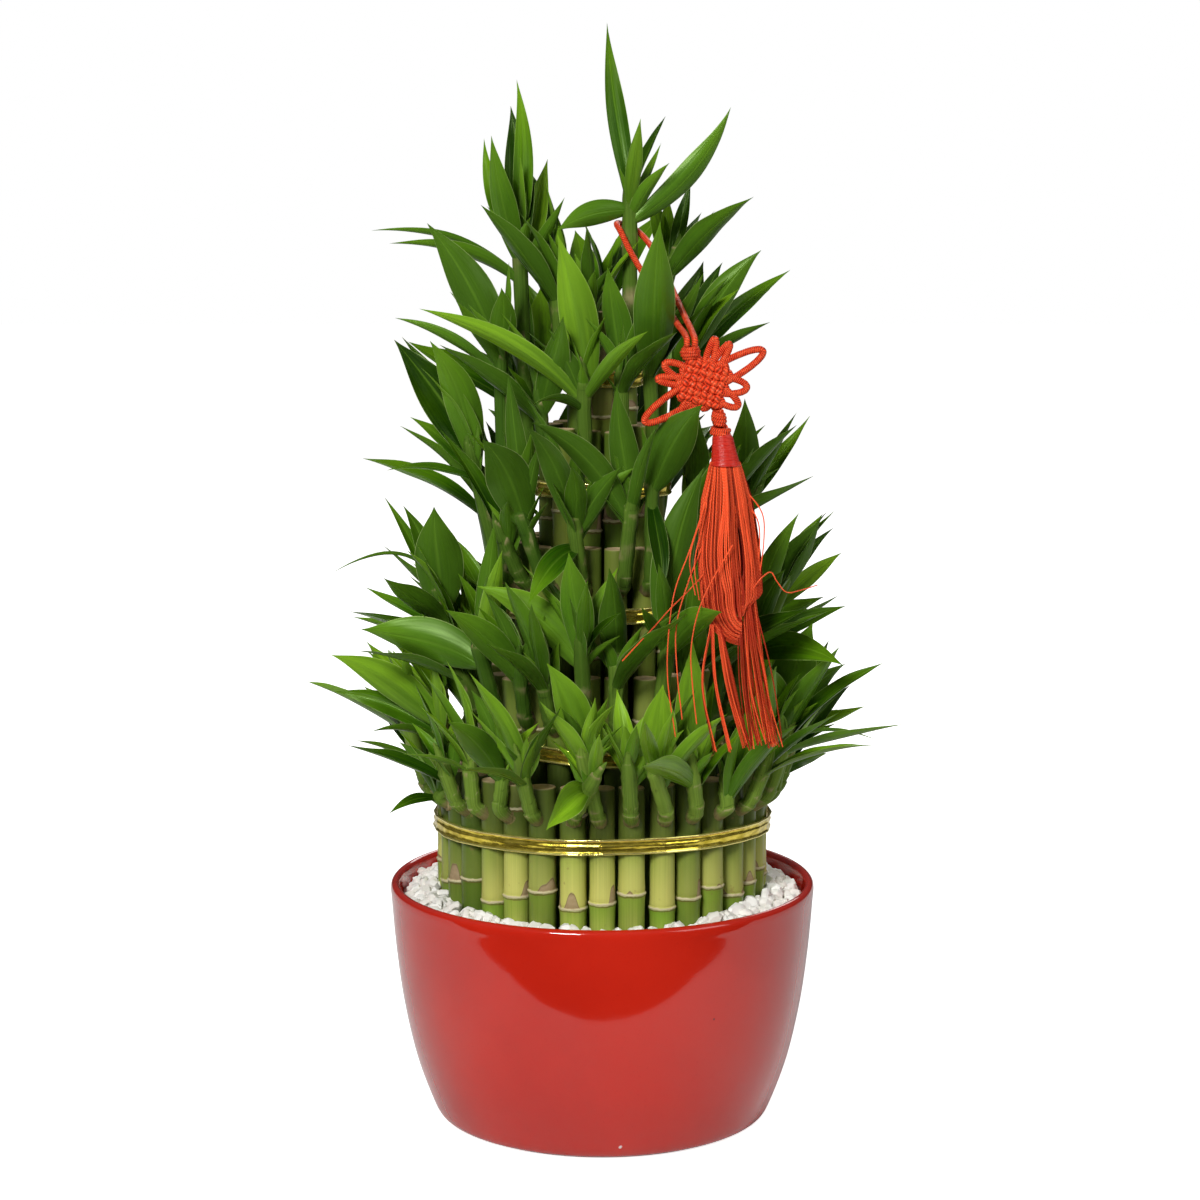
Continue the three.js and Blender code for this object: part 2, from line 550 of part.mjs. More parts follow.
function ruleShoot(spot, attempt) {
  const { tier: t } = spot.clump;
  const { angle, index } = spot.place;
  const tier = TIERS[t];
  const rise = between(SHOOT_RULE[t].rise, draw(t, index, attempt, SALT.rise));
  const lean = between(SHOOT_RULE[t].lean, draw(t, index, attempt, SALT.lean));
  const turn = spread(CROWN_SCATTER, draw(t, index, attempt, SALT.turn));
  const z = bandHeight(tier, angle) + STEM_ABOVE_BAND + rise;
  return makeShoot(spot, around(angle + turn, tier.ring + tier.cane / 2 + lean, z), null);
}

function settleStem(shoot) {
  const solid = toSolid(stem(shoot));
  shoot.clump.solids.push(solid);
  settle(solid, shoot.clump.name);
  return shoot;
}

// A shoot leaves its cane outward, turned towards its crown as far as its neighbours leave room
function makeShoot({ clump, place }, crown, leaves) {
  const tier = TIERS[clump.tier];
  const middle = around(place.angle, tier.ring, bandHeight(tier, place.angle) + STEM_ABOVE_BAND);
  const toCrown = THREE.MathUtils.radToDeg(Math.atan2(crown.x - middle.x, middle.y - crown.y));
  const turn = ((toCrown - place.angle + 900) % 360) - 180;
  const heading = place.angle + THREE.MathUtils.clamp(turn, -SHOOT_TURN[clump.tier], SHOOT_TURN[clump.tier]);
  const radius = tier.cane / 2;
  return {
    clump, place, crown, leaves,
    foot: middle.clone().add(around(heading, radius - STEM_SINK, 0)),
    elbow: middle.clone().add(around(heading, radius + ELBOW_OUT, ELBOW_RISE)),
    outward: around(place.angle, 1, 0),
  };
}

// Where a leaf starts: inside the stem below the crown, each lower than the one above it, and behind
// the stem's middle line as seen along the leaf's own heading
function leafRoot(shoot, order, heading) {
  const down = shoot.elbow.clone().sub(shoot.crown);
  const sink = Math.min(CROWN_SINK + ROOT_STEP * order, down.length());
  down.normalize();
  const off = heading.clone().addScaledVector(down, -heading.dot(down)).normalize();
  return shoot.crown.clone().addScaledVector(down, sink).addScaledVector(off, -ROOT_OFFSET);
}

function readLeaf(shoot, [x, y, z, width, bow, turn], order, shift) {
  const tip = new THREE.Vector3(x, y + shift, z);
  const root = leafRoot(shoot, order, tip.clone().sub(shoot.crown));
  const along = tip.clone().sub(root).normalize();
  const rise = leafRise(along, shoot.outward);
  const toFront = FRONT.clone().addScaledVector(along, -FRONT.dot(along)).normalize();
  if (toFront.dot(rise) < 0) toFront.negate();
  const face = rise.multiplyScalar(1 - turn).addScaledVector(toFront, turn).normalize();
  return { root, tip, width, bow, face, outward: shoot.outward };
}

function ruleLeaf(shoot, number, attempt) {
  const rule = SHOOT_RULE[shoot.clump.tier];
  const key = [shoot.clump.tier, shoot.place.index, number, attempt];
  const { count } = shoot;
  const length = between(rule.length, draw(...key, SALT.length)) * (1 - TRY_SHRINK * attempt);
  const steep = (count - number - draw(...key, SALT.pitch)) / count;
  const pitch = THREE.MathUtils.degToRad(between(rule.pitch, steep));
  const sector = ((number * 2) % count) / Math.max(count - 1, 1) - 0.5;
  const turn = RULE_SECTOR * sector + spread(RULE_SCATTER, draw(...key, SALT.heading));
  const heading = around(shoot.place.angle + turn, 1, 0);
  const along = heading.multiplyScalar(Math.cos(pitch)).addScaledVector(UP, Math.sin(pitch));
  const root = leafRoot(shoot, number, along);
  return {
    root,
    tip: root.clone().addScaledVector(along, length),
    width: length * between(RULE_WIDTH, draw(...key, SALT.width)),
    bow: length * between(RULE_BOW, draw(...key, SALT.bow)),
    face: leafRise(along, shoot.outward).applyAxisAngle(along, spread(RULE_ROLL, draw(...key, SALT.roll))),
    outward: shoot.outward,
  };
}

// Tries a leaf's variants in order and fuses the first one that is clear. It stays off its own
// clump's canes, and off its sister leaves once it has left the stem, or else a little further out
function grow(shoot, variants) {
  const owner = shoot.clump.name;
  const foreign = (other) => other.owner !== owner || other.fixed;
  const away = variants.filter((leaf) => leaf.tip.z > LEAF_FLOOR
    && isClear(toSolid(blade(leaf, LEAF_CLEARANCE, ROOT_FREE)), foreign)
    && isClear(toSolid(blade(leaf)), foreign));
  for (const from of FREE_FROM) {
    for (const leaf of away) {
      const free = toSolid(blade(leaf, 0, from));
      if (!isClear(free, (other) => other.owner === owner && !other.fixed)) continue;
      const solid = toSolid(blade(leaf));
      shoot.clump.solids.push(solid);
      settle(solid, owner);
      return;
    }
  }
}

function growLeaves(shoots) {
  for (const shoot of shoots.filter((one) => one.leaves)) {
    const steepness = ([x, y, z]) => new THREE.Vector3(x, y, z).sub(shoot.crown).normalize().z;
    const ordered = [...shoot.leaves].sort((a, b) => steepness(b) - steepness(a));
    ordered.forEach((numbers, order) => {
      grow(shoot, DEPTH_SHIFTS.map((shift) => readLeaf(shoot, numbers, order, shift)));
    });
  }
  for (const shoot of shoots.filter((one) => !one.leaves)) {
    const rule = SHOOT_RULE[shoot.clump.tier];
    shoot.count = Math.round(between(rule.leaves, draw(shoot.clump.tier, shoot.place.index, SALT.count)));
    for (let number = 0; number < shoot.count; number++) {
      grow(shoot, Array.from({ length: RULE_TRIES }, (_, attempt) => ruleLeaf(shoot, number, attempt)));
    }
  }
}

// The cord: one round tube along its route
function cord() {
  const curve = new THREE.CatmullRomCurve3(CORD_ROUTE.map((point) => new THREE.Vector3(...point)));
  const section = new THREE.Shape();
  for (let k = 0; k < CORD_SIDES; k++) {
    const a = (k / CORD_SIDES) * 2 * Math.PI;
    const [x, y] = [(CORD_DIAMETER / 2) * Math.cos(a), (CORD_DIAMETER / 2) * Math.sin(a)];
    if (k === 0) section.moveTo(x, y);
    else section.lineTo(x, y);
  }
  return new THREE.ExtrudeGeometry(section, { steps: CORD_STEPS, extrudePath: curve });
}

// One loop of the knot: a bow of cord in the knot's plane with both ends inside the block
function knotLoop([angle, reach, width]) {
  const a = THREE.MathUtils.degToRad(angle);
  const out = new THREE.Vector3(Math.cos(a), 0, Math.sin(a));
  const across = new THREE.Vector3(-out.z, 0, out.x);
  const from = KNOT_BLOCK * LOOP_ROOT;
  const bow = Array.from({ length: LOOP_STEPS + 1 }, (_, k) => {
    const turn = (k / LOOP_STEPS) * Math.PI;
    const far = from + (reach - from) * Math.sin(turn) ** LOOP_FULLNESS;
    return out.clone().multiplyScalar(far).addScaledVector(across, (width / 2) * Math.cos(turn));
  });
  return loft(bow.map((point, k) => {
    const ahead = bow[Math.min(k + 1, LOOP_STEPS)].clone().sub(bow[Math.max(k - 1, 0)]);
    return ringAt(point, ahead, new THREE.Vector3(0, 1, 0), LOOP_RADIUS, LOOP_SIDES);
  }));
}

// The knot's woven block: a square of cells, each face a low peak where the cord crosses over
function wovenBlock() {
  const cells = KNOT_WEAVE;
  const across = (k) => (k / cells - 0.5) * KNOT_BLOCK;
  const at = (i, j, y) => new THREE.Vector3(across(i), y, across(j));
  const points = [];
  const faces = [];
  const grid = (side) => {
    const start = points.length;
    const y = side * (KNOT_THICK / 2 - KNOT_BUMP);
    for (let j = 0; j <= cells; j++) {
      for (let i = 0; i <= cells; i++) points.push(at(i, j, y));
    }
    for (let j = 0; j < cells; j++) {
      for (let i = 0; i < cells; i++) {
        const corner = start + j * (cells + 1) + i;
        const corners = [corner, corner + 1, corner + cells + 2, corner + cells + 1];
        points.push(at(i + 0.5, j + 0.5, (side * KNOT_THICK) / 2));
        corners.forEach((from, k) => {
          const to = corners[(k + 1) % 4];
          faces.push(side > 0 ? [to, from, points.length - 1] : [from, to, points.length - 1]);
        });
      }
    }
    return start;
  };
  const front = grid(-1);
  const back = grid(1);
  const rim = [];
  for (let k = 0; k < cells; k++) rim.push(k);
  for (let k = 0; k < cells; k++) rim.push(cells + k * (cells + 1));
  for (let k = 0; k < cells; k++) rim.push((cells + 1) * (cells + 1) - 1 - k);
  for (let k = 0; k < cells; k++) rim.push((cells - k) * (cells + 1));
  rim.forEach((from, k) => {
    const to = rim[(k + 1) % rim.length];
    faces.push([front + to, front + from, back + from], [front + to, back + from, back + to]);
  });
  return facing(points, faces);
}

// The block on its corner, its loops, and the round button that the cord's two ends run into
function knot() {
  let solid = toSolid(wovenBlock().rotateY(THREE.MathUtils.degToRad(KNOT_TILT)));
  for (const loop of KNOT_LOOPS) solid = solid.add(toSolid(knotLoop(loop)));
  const button = KNOT_BUTTON.map(([x, z, radius]) => (
    ringAt(new THREE.Vector3(x, 0, z), UP, FRONT, radius, CORD_SIDES)
  ));
  return toGeometry(solid.add(toSolid(loft(button)))).translate(...KNOT_CENTRE);
}

// The tassel: a bound head over a fluted skirt of threads, with locks of thread below its hem
function tassel() {
  const sides = TASSEL_FLUTES * 2;
  const rings = TASSEL.map(([x, y, z, radius], row) => {
    const fluted = row >= SKIRT_FROM;
    return Array.from({ length: sides }, (_, k) => {
      const a = (k / sides) * 2 * Math.PI;
      const r = radius * (fluted && k % 2 ? FLUTE_DEPTH : 1);
      return new THREE.Vector3(x + r * Math.sin(a), y - TASSEL_DEPTH * r * Math.cos(a), z);
    });
  });
  let solid = toSolid(loft(rings));
  const [hemX, hemY, hemZ, hemRadius] = TASSEL.at(-1);
  const out = hemRadius * STRAND_PLACE;
  for (const [x, y, z, place] of STRANDS) {
    const a = THREE.MathUtils.degToRad(place);
    const top = new THREE.Vector3(hemX, hemY, hemZ + STRAND_SINK);
    top.add(new THREE.Vector3(out * Math.sin(a), -TASSEL_DEPTH * out * Math.cos(a), 0));
    const foot = new THREE.Vector3(x, y, z);
    const down = foot.clone().sub(top);
    solid = solid.add(toSolid(loft([
      ringAt(top, down, UP.clone().add(FRONT), STRAND_RADIUS, STRAND_SIDES),
      ringAt(foot, down, UP.clone().add(FRONT), STRAND_RADIUS * STRAND_TAPER, STRAND_SIDES),
    ])));
  }
  return toGeometry(solid);
}

function makeMesh(name, geometry, color, roughness, metalness = 0) {
  const mesh = new THREE.Mesh(geometry, new THREE.MeshStandardMaterial({ color, roughness, metalness }));
  mesh.name = name;
  return mesh;
}

const group = new THREE.Group();
group.add(makeMesh('bowl', bowl(), COLORS.glaze, 0.12));
group.add(makeMesh('pebbles', pebbleBed(), COLORS.pebble, 0.7));

const clumps = makeClumps();
TIERS.forEach((tier, t) => {
  const geometry = ribbon(tier, Math.max(RIBBON_SIDES, tier.groups * tier.each));
  group.add(makeMesh(`ribbon_tier${t + 1}`, geometry, COLORS.gold, 0.2, 1));
  settle(toSolid(geometry), `ribbon_tier${t + 1}`);
});
const ornaments = { hanging_cord: cord(), knot: knot(), tassel: tassel() };
for (const [name, geometry] of Object.entries(ornaments)) {
  group.add(makeMesh(name, geometry, COLORS.red, 0.45));
  settle(toSolid(geometry), name);
}

const shoots = makeShoots(clumps);
growLeaves(shoots);
for (const clump of clumps) {
  const solid = clump.solids.reduce((sum, next) => sum.add(next));
  group.add(makeMesh(clump.name, toGeometry(solid), COLORS.cane, 0.5));
}

export default group;
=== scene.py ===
"""Lucky bamboo tower in a red glazed bowl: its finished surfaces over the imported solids.

Shapes are worked out in millimetres, +Z up, with the origin under the middle of the bowl, and go
into their meshes in metres. Angles about the tower are in degrees: 0 at the front (-Y), 90 at the
right (+X). Every shape is a grid of rings: a section carried along a line, as whole arrays.
"""

import logging
import math
from collections.abc import Sequence
from dataclasses import dataclass, field
from enum import Enum, IntEnum

import bpy
import numpy as np
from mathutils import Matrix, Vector
from mathutils.kdtree import KDTree


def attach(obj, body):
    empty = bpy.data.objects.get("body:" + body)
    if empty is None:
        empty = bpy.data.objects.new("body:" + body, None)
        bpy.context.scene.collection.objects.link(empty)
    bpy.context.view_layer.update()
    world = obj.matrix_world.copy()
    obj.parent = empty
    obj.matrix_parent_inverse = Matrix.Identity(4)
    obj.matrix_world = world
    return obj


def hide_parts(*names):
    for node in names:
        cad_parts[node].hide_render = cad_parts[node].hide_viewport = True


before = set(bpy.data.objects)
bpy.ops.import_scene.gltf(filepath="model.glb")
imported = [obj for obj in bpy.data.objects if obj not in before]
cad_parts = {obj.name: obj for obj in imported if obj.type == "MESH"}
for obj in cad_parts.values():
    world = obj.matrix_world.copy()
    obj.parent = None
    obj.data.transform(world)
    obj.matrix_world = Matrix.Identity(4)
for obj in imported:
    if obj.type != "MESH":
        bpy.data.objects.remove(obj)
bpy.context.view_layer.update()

log = logging.getLogger("lucky_bamboo")

Array = np.ndarray
Socket = bpy.types.NodeSocket
Span = tuple[float, float]
# A grid of rings and its named marks
Skinned = tuple[Array, dict[str, Array]]

MM = 0.001
UP = np.array([0.0, 0.0, 1.0])
FRONT = np.array([0.0, -1.0, 0.0])
# How deep the grooves between a cord's strands are, as a share of its radius
GROOVE = 0.06
# How many tries each shoot and leaf of the rule has
TRIES = 14
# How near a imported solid's corner has to be to a try's point, in metres
NEAR_ENOUGH = 1e-5


class Salt(IntEnum):
    """What each draw settles."""

    LEVEL = 1
    JOINT = 2
    TOP = 3
    RISE = 11
    LEAN = 12
    TURN = 13
    COUNT = 14
    LENGTH = 21
    PITCH = 22
    HEADING = 23
    ROLL = 24
    WIDTH = 25
    BOW = 26
    TONE = 41
    SWAY = 42
    TWIST = 43
    RIPPLE = 44
    SPACING = 45
    GIRTH = 46


def draw(*keys: int) -> float:
    """A number from 0 to 1 that depends only on the whole numbers given.

    Args:
        keys: What the draw is for: the piece's own numbers and a Salt.

    Returns:
        The draw, the same in every run.
    """
    h = 0x9E3779B9
    for key in keys:
        h = ((h ^ (int(key) + 0x7ED55D16)) * 0x85EBCA6B) & 0xFFFFFFFF
        h ^= h >> 13
        h = (h * 0xC2B2AE35) & 0xFFFFFFFF
        h ^= h >> 16
    return h / 4294967296


def between(span: Span, share: float | Array) -> float | Array:
    """The number at a share of the way through a span."""
    return span[0] + (span[1] - span[0]) * share


def spread(reach: float, share: float) -> float:
    """A number from -reach to reach."""
    return (share * 2 - 1) * reach


def unit(vectors: Array) -> Array:
    """The vectors at length 1."""
    return vectors / np.linalg.norm(vectors, axis=-1, keepdims=True)


def squared(vectors: Array, along: Array) -> Array:
    """The part of the vectors that is square to `along`, at length 1."""
    return unit(vectors - (vectors * along).sum(-1, keepdims=True) * along)


def shares(count: int) -> Array:
    """Even shares of a whole, from 0."""
    return np.arange(count) / count


def turns(count: int) -> Array:
    """Even angles once round, in radians."""
    return shares(count) * 2 * np.pi


def hump(x: Array, middle: float, reach: float) -> Array:
    """A smooth bump of height 1: exp(-((x - middle) / reach)^2)."""
    return np.exp(-(((x - middle) / reach) ** 2))


def wavy(level: float | Array, a: Array, phase: float, *waves: Span) -> Array:
    """A level with waves on it, each a size and a count: size * sin(count * a + number * phase).

    Args:
        level: What the waves are added to.
        a: Angles once round, in radians.
        phase: Where the first wave starts; later ones start at its multiples.
        waves: Each wave's size and count.

    Returns:
        The wavy values.
    """
    for number, (size, count) in enumerate(waves, 1):
        level = level + size * np.sin(count * a + number * phase)
    return level


def signed(angle: float) -> float:
    """The same angle from -180 to 180 degrees."""
    return (angle + 900) % 360 - 180


def stacked(*values: float | Array) -> Array:
    """Arrays side by side in a last axis, each repeated where the others are larger."""
    return np.stack(np.broadcast_arrays(*values), -1)


def around(angle: float | Array, radius: float | Array, z: float | Array) -> Array:
    """Points at an angle about the tower: (radius sin a, -radius cos a, z)."""
    a = np.radians(angle)
    return stacked(radius * np.sin(a), -radius * np.cos(a), z)


def placed(name: str, data: bpy.types.ID) -> bpy.types.Object:
    """A new object in the scene for a mesh, a light or a camera."""
    thing = bpy.data.objects.new(name, data)
    bpy.context.scene.collection.objects.link(thing)
    return thing


def smooth(points: Sequence, steps: int) -> Array:
    """A smooth line through points.

    Each stretch is a cubic whose slopes come from its neighbours, weighed by the square root of
    their distances (a centripetal Catmull-Rom curve).

    Args:
        points: The points that it passes.
        steps: Stations on each stretch.

    Returns:
        The stations, shape (stretches * steps + 1, 3).
    """
    p = np.asarray(points, float)
    p = np.vstack([2 * p[0] - p[1], p, 2 * p[-1] - p[-2]])
    gap = np.linalg.norm(np.diff(p, axis=0), axis=1, keepdims=True) ** 0.5
    step = np.diff(p, axis=0)
    slope = step[:-1] / gap[:-1] - (step[:-1] + step[1:]) / (gap[:-1] + gap[1:]) + step[1:] / gap[1:]
    start = (slope[:-1] * gap[1:-1])[:, None]
    end = (slope[1:] * gap[1:-1])[:, None]
    a, b = p[1:-2][:, None], p[2:-1][:, None]
    u = shares(steps)[None, :, None]
    line = (a * (2 * u**3 - 3 * u**2 + 1) + start * (u**3 - 2 * u**2 + u)
            + b * (3 * u**2 - 2 * u**3) + end * (u**3 - u**2))
    return np.vstack([line.reshape(-1, 3), p[-2]])


def travelled(line: Array) -> Array:
    """How far along a line each of its stations is."""
    steps = np.linalg.norm(np.diff(line, axis=-2), axis=-1)
    return np.concatenate([np.zeros((*steps.shape[:-1], 1)), np.cumsum(steps, -1)], -1)


def tube(line: Array, radius: float | Array, sides: int, side_hint: Array) -> Array:
    """Rings square to lines: line + radius (cos a * x + sin a * y), x being the hint made square to it.

    Args:
        line: Stations, shape (..., stations, 3).
        radius: One number, or an array that fits (..., stations, sides).
        sides: Points on a ring.
        side_hint: A direction that no part of the line runs along.

    Returns:
        The rings, shape (..., stations, sides, 3).
    """
    along = unit(np.gradient(line, axis=-2))
    x = squared(np.broadcast_to(side_hint, line.shape), along)
    y = np.cross(along, x)
    a = turns(sides)
    ring = np.cos(a)[:, None] * x[..., None, :] + np.sin(a)[:, None] * y[..., None, :]
    wide = np.broadcast_to(radius, ring.shape[:-1])
    return line[..., None, :] + ring * wide[..., None]


@dataclass
class Skin:
    """Gathers closed skins, each a grid of rings, into one mesh."""

    points: list[Array] = field(default_factory=list)
    faces: list[Array] = field(default_factory=list)
    finishes: list[Array] = field(default_factory=list)
    marks: dict[str, list[Array]] = field(default_factory=dict)
    count: int = 0

    def add(self, rings: Array, marks: dict[str, Array] | None = None, finish: int = 0,
            loop: bool = False, tips: Sequence[Array | None] = (None, None)) -> None:
        """Adds skins over rings, turned right side out.

        Args:
            rings: Shape (stations, sides, 3), or (skins, stations, sides, 3) for many alike.
            marks: Named values at the points, shapes that fit the rings.
            finish: The number of the piece's finish that the faces get.
            loop: Whether the last ring joins the first. Otherwise each end closes on one point.
            tips: The two closing points, or None for the middle of the end ring.
        """
        rings = rings if rings.ndim == 4 else rings[None]
        n, stations, sides, _ = rings.shape
        grid = np.arange(stations * sides).reshape(stations, sides)
        below = grid if loop else grid[:-1]
        above = np.roll(grid, -1, 0)[:len(below)]
        quads = np.stack([below, np.roll(below, -1, 1), np.roll(above, -1, 1), above], -1).reshape(-1, 4)
        flat = rings.reshape(n, -1, 3)
        named = {k: np.broadcast_to(v, rings.shape).reshape(n, -1, 3) for k, v in (marks or {}).items()}
        if not loop:
            last, ends = stations * sides, (grid[0], grid[-1])
            quads = np.vstack([quads, stacked(grid[0], last, np.roll(grid[0], -1), grid[0]),
                               stacked(grid[-1], np.roll(grid[-1], -1), last + 1, grid[-1])])
            closing = [flat[:, rows].mean(1) if tip is None else np.broadcast_to(tip, (n, 3))
                       for tip, rows in zip(tips, ends)]
            flat = np.concatenate([flat, np.stack(closing, 1)], 1)
            named = {k: np.concatenate([v, np.stack([v[:, rows].mean(1) for rows in ends], 1)], 1)
                     for k, v in named.items()}
        a, b, c, d = (flat[0][quads[:, k]] - flat[0].mean(0) for k in range(4))
        volume = (a * np.cross(b, c)).sum() + (a * np.cross(c, d)).sum()
        if volume < 0:
            quads = quads[:, [0, 3, 2, 1]]
            quads = np.where(quads[:, :1] == quads[:, 1:2], np.roll(quads, -1, 1), quads)
        each = flat.shape[1]
        offsets = self.count + np.arange(n)[:, None, None] * each
        self.faces.append((quads[None] + offsets).reshape(-1, 4))
        self.finishes.append(np.full(n * len(quads), finish))
        self.points.append(flat.reshape(-1, 3))
        for name, values in named.items():
            self.marks.setdefault(name, []).append(values.reshape(-1, 3))
        self.count += n * each

    def piece(self, name: str, finishes: "Sequence[Finish]", slot: str, stands_for: Sequence[str],
              sharp: float = 50.0) -> bpy.types.Object:
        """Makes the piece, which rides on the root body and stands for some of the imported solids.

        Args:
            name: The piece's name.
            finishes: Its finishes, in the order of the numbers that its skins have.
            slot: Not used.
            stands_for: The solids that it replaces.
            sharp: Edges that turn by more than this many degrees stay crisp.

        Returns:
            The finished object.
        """
        mesh = bpy.data.meshes.new(name)
        faces = np.vstack(self.faces)
        corners = [face[:3] if face[3] == face[0] else face for face in faces.tolist()]
        mesh.from_pydata((np.vstack(self.points) * MM).tolist(), [], corners)
        for key, values in self.marks.items():
            layer = mesh.attributes.new(key, "FLOAT_VECTOR", "POINT")
            layer.data.foreach_set("vector", np.vstack(values).astype(np.float32).ravel())
        for finish in finishes:
            mesh.materials.append(finish.material())
        mesh.polygons.foreach_set("material_index", np.concatenate(self.finishes).astype(np.int32))
        mesh.polygons.foreach_set("use_smooth", np.ones(len(faces), bool))
        mesh.set_sharp_from_angle(angle=math.radians(sharp))
        mesh.validate()
        thing = placed(name, mesh)
        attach(thing, "root")
        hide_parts(*stands_for)
        log.info("%s: %d faces, stands for %s", name, len(faces), ", ".join(stands_for))
        return thing


# Shader building


class Graph:
    """Adds nodes to one shader tree and hands back their sockets."""

    def __init__(self, tree: bpy.types.NodeTree) -> None:
        """Args: tree: The tree that gets the nodes."""
        self.tree = tree

    def add(self, kind: str, inputs: dict | None = None, **settings: object) -> bpy.types.Node:
        """Adds a node, sets its properties and feeds its inputs with sockets or plain values.

        Args:
            kind: The node's type.
            inputs: A socket or plain value for each input, by name or number.
            settings: The node's properties.

        Returns:
            The node.
        """
        node = self.tree.nodes.new(kind)
        for key, value in settings.items():
            setattr(node, key, value)
        for key, value in (inputs or {}).items():
            self.feed(node.inputs[key], value)
        return node

    def feed(self, socket: Socket, value: object) -> None:
        """Links a socket into an input, or sets the input to a plain value."""
        if isinstance(value, Socket):
            self.tree.links.new(value, socket)
        else:
            socket.default_value = value

    def math(self, operation: str, *values: object) -> Socket:
        """The result of a math node."""
        return self.add("ShaderNodeMath", dict(enumerate(values)), operation=operation).outputs[0]

    def times(self, first: object, second: object) -> Socket:
        """The product of two values."""
        return self.math("MULTIPLY", first, second)

    def blend(self, share: object, first: object, second: object) -> Socket:
        """A colour between two colours.

        Args:
            share: From 0, the first colour, to 1, the second.
            first: A socket or three numbers.
            second: The same.

        Returns:
            The colour's socket.
        """
        ends = ((*colour, 1.0) if isinstance(colour, tuple) else colour for colour in (first, second))
        node = self.add("ShaderNodeMix", dict(zip((0, 6, 7), (share, *ends))), data_type="RGBA")
        return node.outputs[2]

    def coats(self, colour: object, *layers: tuple) -> Socket:
        """A colour under layers, each a mask, the share of it that covers, and a colour of its own.

        Args:
            colour: The colour at the bottom.
            layers: The layers, the lowest first.

        Returns:
            The colour seen from above.
        """
        for mask, share, shade in layers:
            colour = self.blend(self.times(mask, share), colour, shade)
        return colour

    def span(self, value: Socket, low: object, high: object, to: Span = (0.0, 1.0)) -> Socket:
        """The value carried from one span to another, held at its ends."""
        inputs = dict(enumerate((value, low, high, *to)))
        return self.add("ShaderNodeMapRange", inputs, interpolation_type="SMOOTHSTEP").outputs[0]

    def noise(self, vector: Socket, scale: object, detail: float = 3.0, rough: float = 0.5) -> Socket:
        """Noise from 0 to 1."""
        inputs = {"Vector": vector, "Scale": scale, "Detail": detail, "Roughness": rough}
        return self.add("ShaderNodeTexNoise", inputs).outputs[0]

    def place(self) -> Socket:
        """The point on the object, in metres."""
        return self.add("ShaderNodeTexCoord").outputs["Object"]

    def split(self, vector: Socket) -> tuple[Socket, Socket, Socket]:
        """The three numbers of a vector."""
        return tuple(self.add("ShaderNodeSeparateXYZ", {0: vector}).outputs)

    def mark(self, name: str) -> tuple[Socket, Socket, Socket]:
        """The three numbers of a named mark."""
        return self.split(self.add("ShaderNodeAttribute", attribute_name=name).outputs["Vector"])

    def vector(self, *values: object) -> Socket:
        """A vector from three numbers."""
        return self.add("ShaderNodeCombineXYZ", dict(enumerate(values))).outputs[0]

    def bump(self, height: Socket, distance: float, strength: float) -> Socket:
        """A normal from a height from 0 to 1 that stands for a distance in metres."""
        inputs = {"Strength": strength, "Distance": distance, "Height": height}
        return self.add("ShaderNodeBump", inputs).outputs[0]


@dataclass(frozen=True)
class Effect:
    """A shader group that several finishes use, built once, with one mask as its output."""

    name: str

    inputs = {}

    def build(self, graph: Graph, given: dict[str, Socket]) -> Socket:
        """Makes the nodes inside the group and gives back the mask.

        Args:
            graph: The group's nodes.
            given: The group's inputs by name.

        Returns:
            The mask's socket.
        """
        raise NotImplementedError

    def tree(self) -> bpy.types.NodeTree:
        """The group's node tree, made on first use."""
        found = bpy.data.node_groups.get(self.name)
        if found:
            return found
        tree = bpy.data.node_groups.new(self.name, "ShaderNodeTree")
        for name, value in self.inputs.items():
            kind = "NodeSocketVector" if isinstance(value, tuple) else "NodeSocketFloat"
            tree.interface.new_socket(name, in_out="INPUT", socket_type=kind).default_value = value
        tree.interface.new_socket("Mask", in_out="OUTPUT", socket_type="NodeSocketFloat")
        graph = Graph(tree)
        given = dict(graph.add("NodeGroupInput").outputs.items())
        graph.add("NodeGroupOutput", {"Mask": self.build(graph, given)})
        return tree

    def use(self, graph: Graph, **values: object) -> Socket:
        """Places the group in a material with its own values and gives back its mask."""
        return graph.add("ShaderNodeGroup", values, node_tree=self.tree()).outputs["Mask"]


class Mottle(Effect):
    """Soft uneven patches: noise carried from a low to a high edge."""

    inputs = {"Vector": (0.0, 0.0, 0.0), "Scale": 100.0, "Low": 0.4, "High": 0.6}

    def build(self, graph: Graph, given: dict[str, Socket]) -> Socket:
        """Noise with some detail, then a smooth step between Low and High."""
        return graph.span(graph.noise(given["Vector"], given["Scale"], 4.0), given["Low"], given["High"])


class Fibres(Effect):
    """Fine lines that run along a piece: noise that is squeezed across and drawn out along."""

    inputs = {"Across": 0.0, "Along": 0.0, "Seed": 0.0, "Lines": 20.0, "Stretch": 1.0}

    def build(self, graph: Graph, given: dict[str, Socket]) -> Socket:
        """Noise at (across * lines, along * stretch, seed), steepened about its middle."""
        vector = graph.vector(graph.times(given["Across"], given["Lines"]),
                              graph.times(given["Along"], given["Stretch"]), graph.times(given["Seed"], 37.0))
        return graph.span(graph.noise(vector, 1.0, 2.0), 0.3, 0.7)


class Plies(Effect):
    """Strands laid round a cord: a wave over the turn about it plus the way along it."""

    inputs = {"Around": 0.0, "Along": 0.0, "Strands": 3.0, "Lay": 2.0}

    def build(self, graph: Graph, given: dict[str, Socket]) -> Socket:
        """Half of 1 + sine of 2 pi (around * strands + along / lay)."""
        turn = graph.math("ADD", graph.times(given["Around"], given["Strands"]),
                          graph.math("DIVIDE", given["Along"], given["Lay"]))
        return graph.math("MULTIPLY_ADD", graph.math("SINE", graph.times(turn, 2 * math.pi)), 0.5, 0.5)


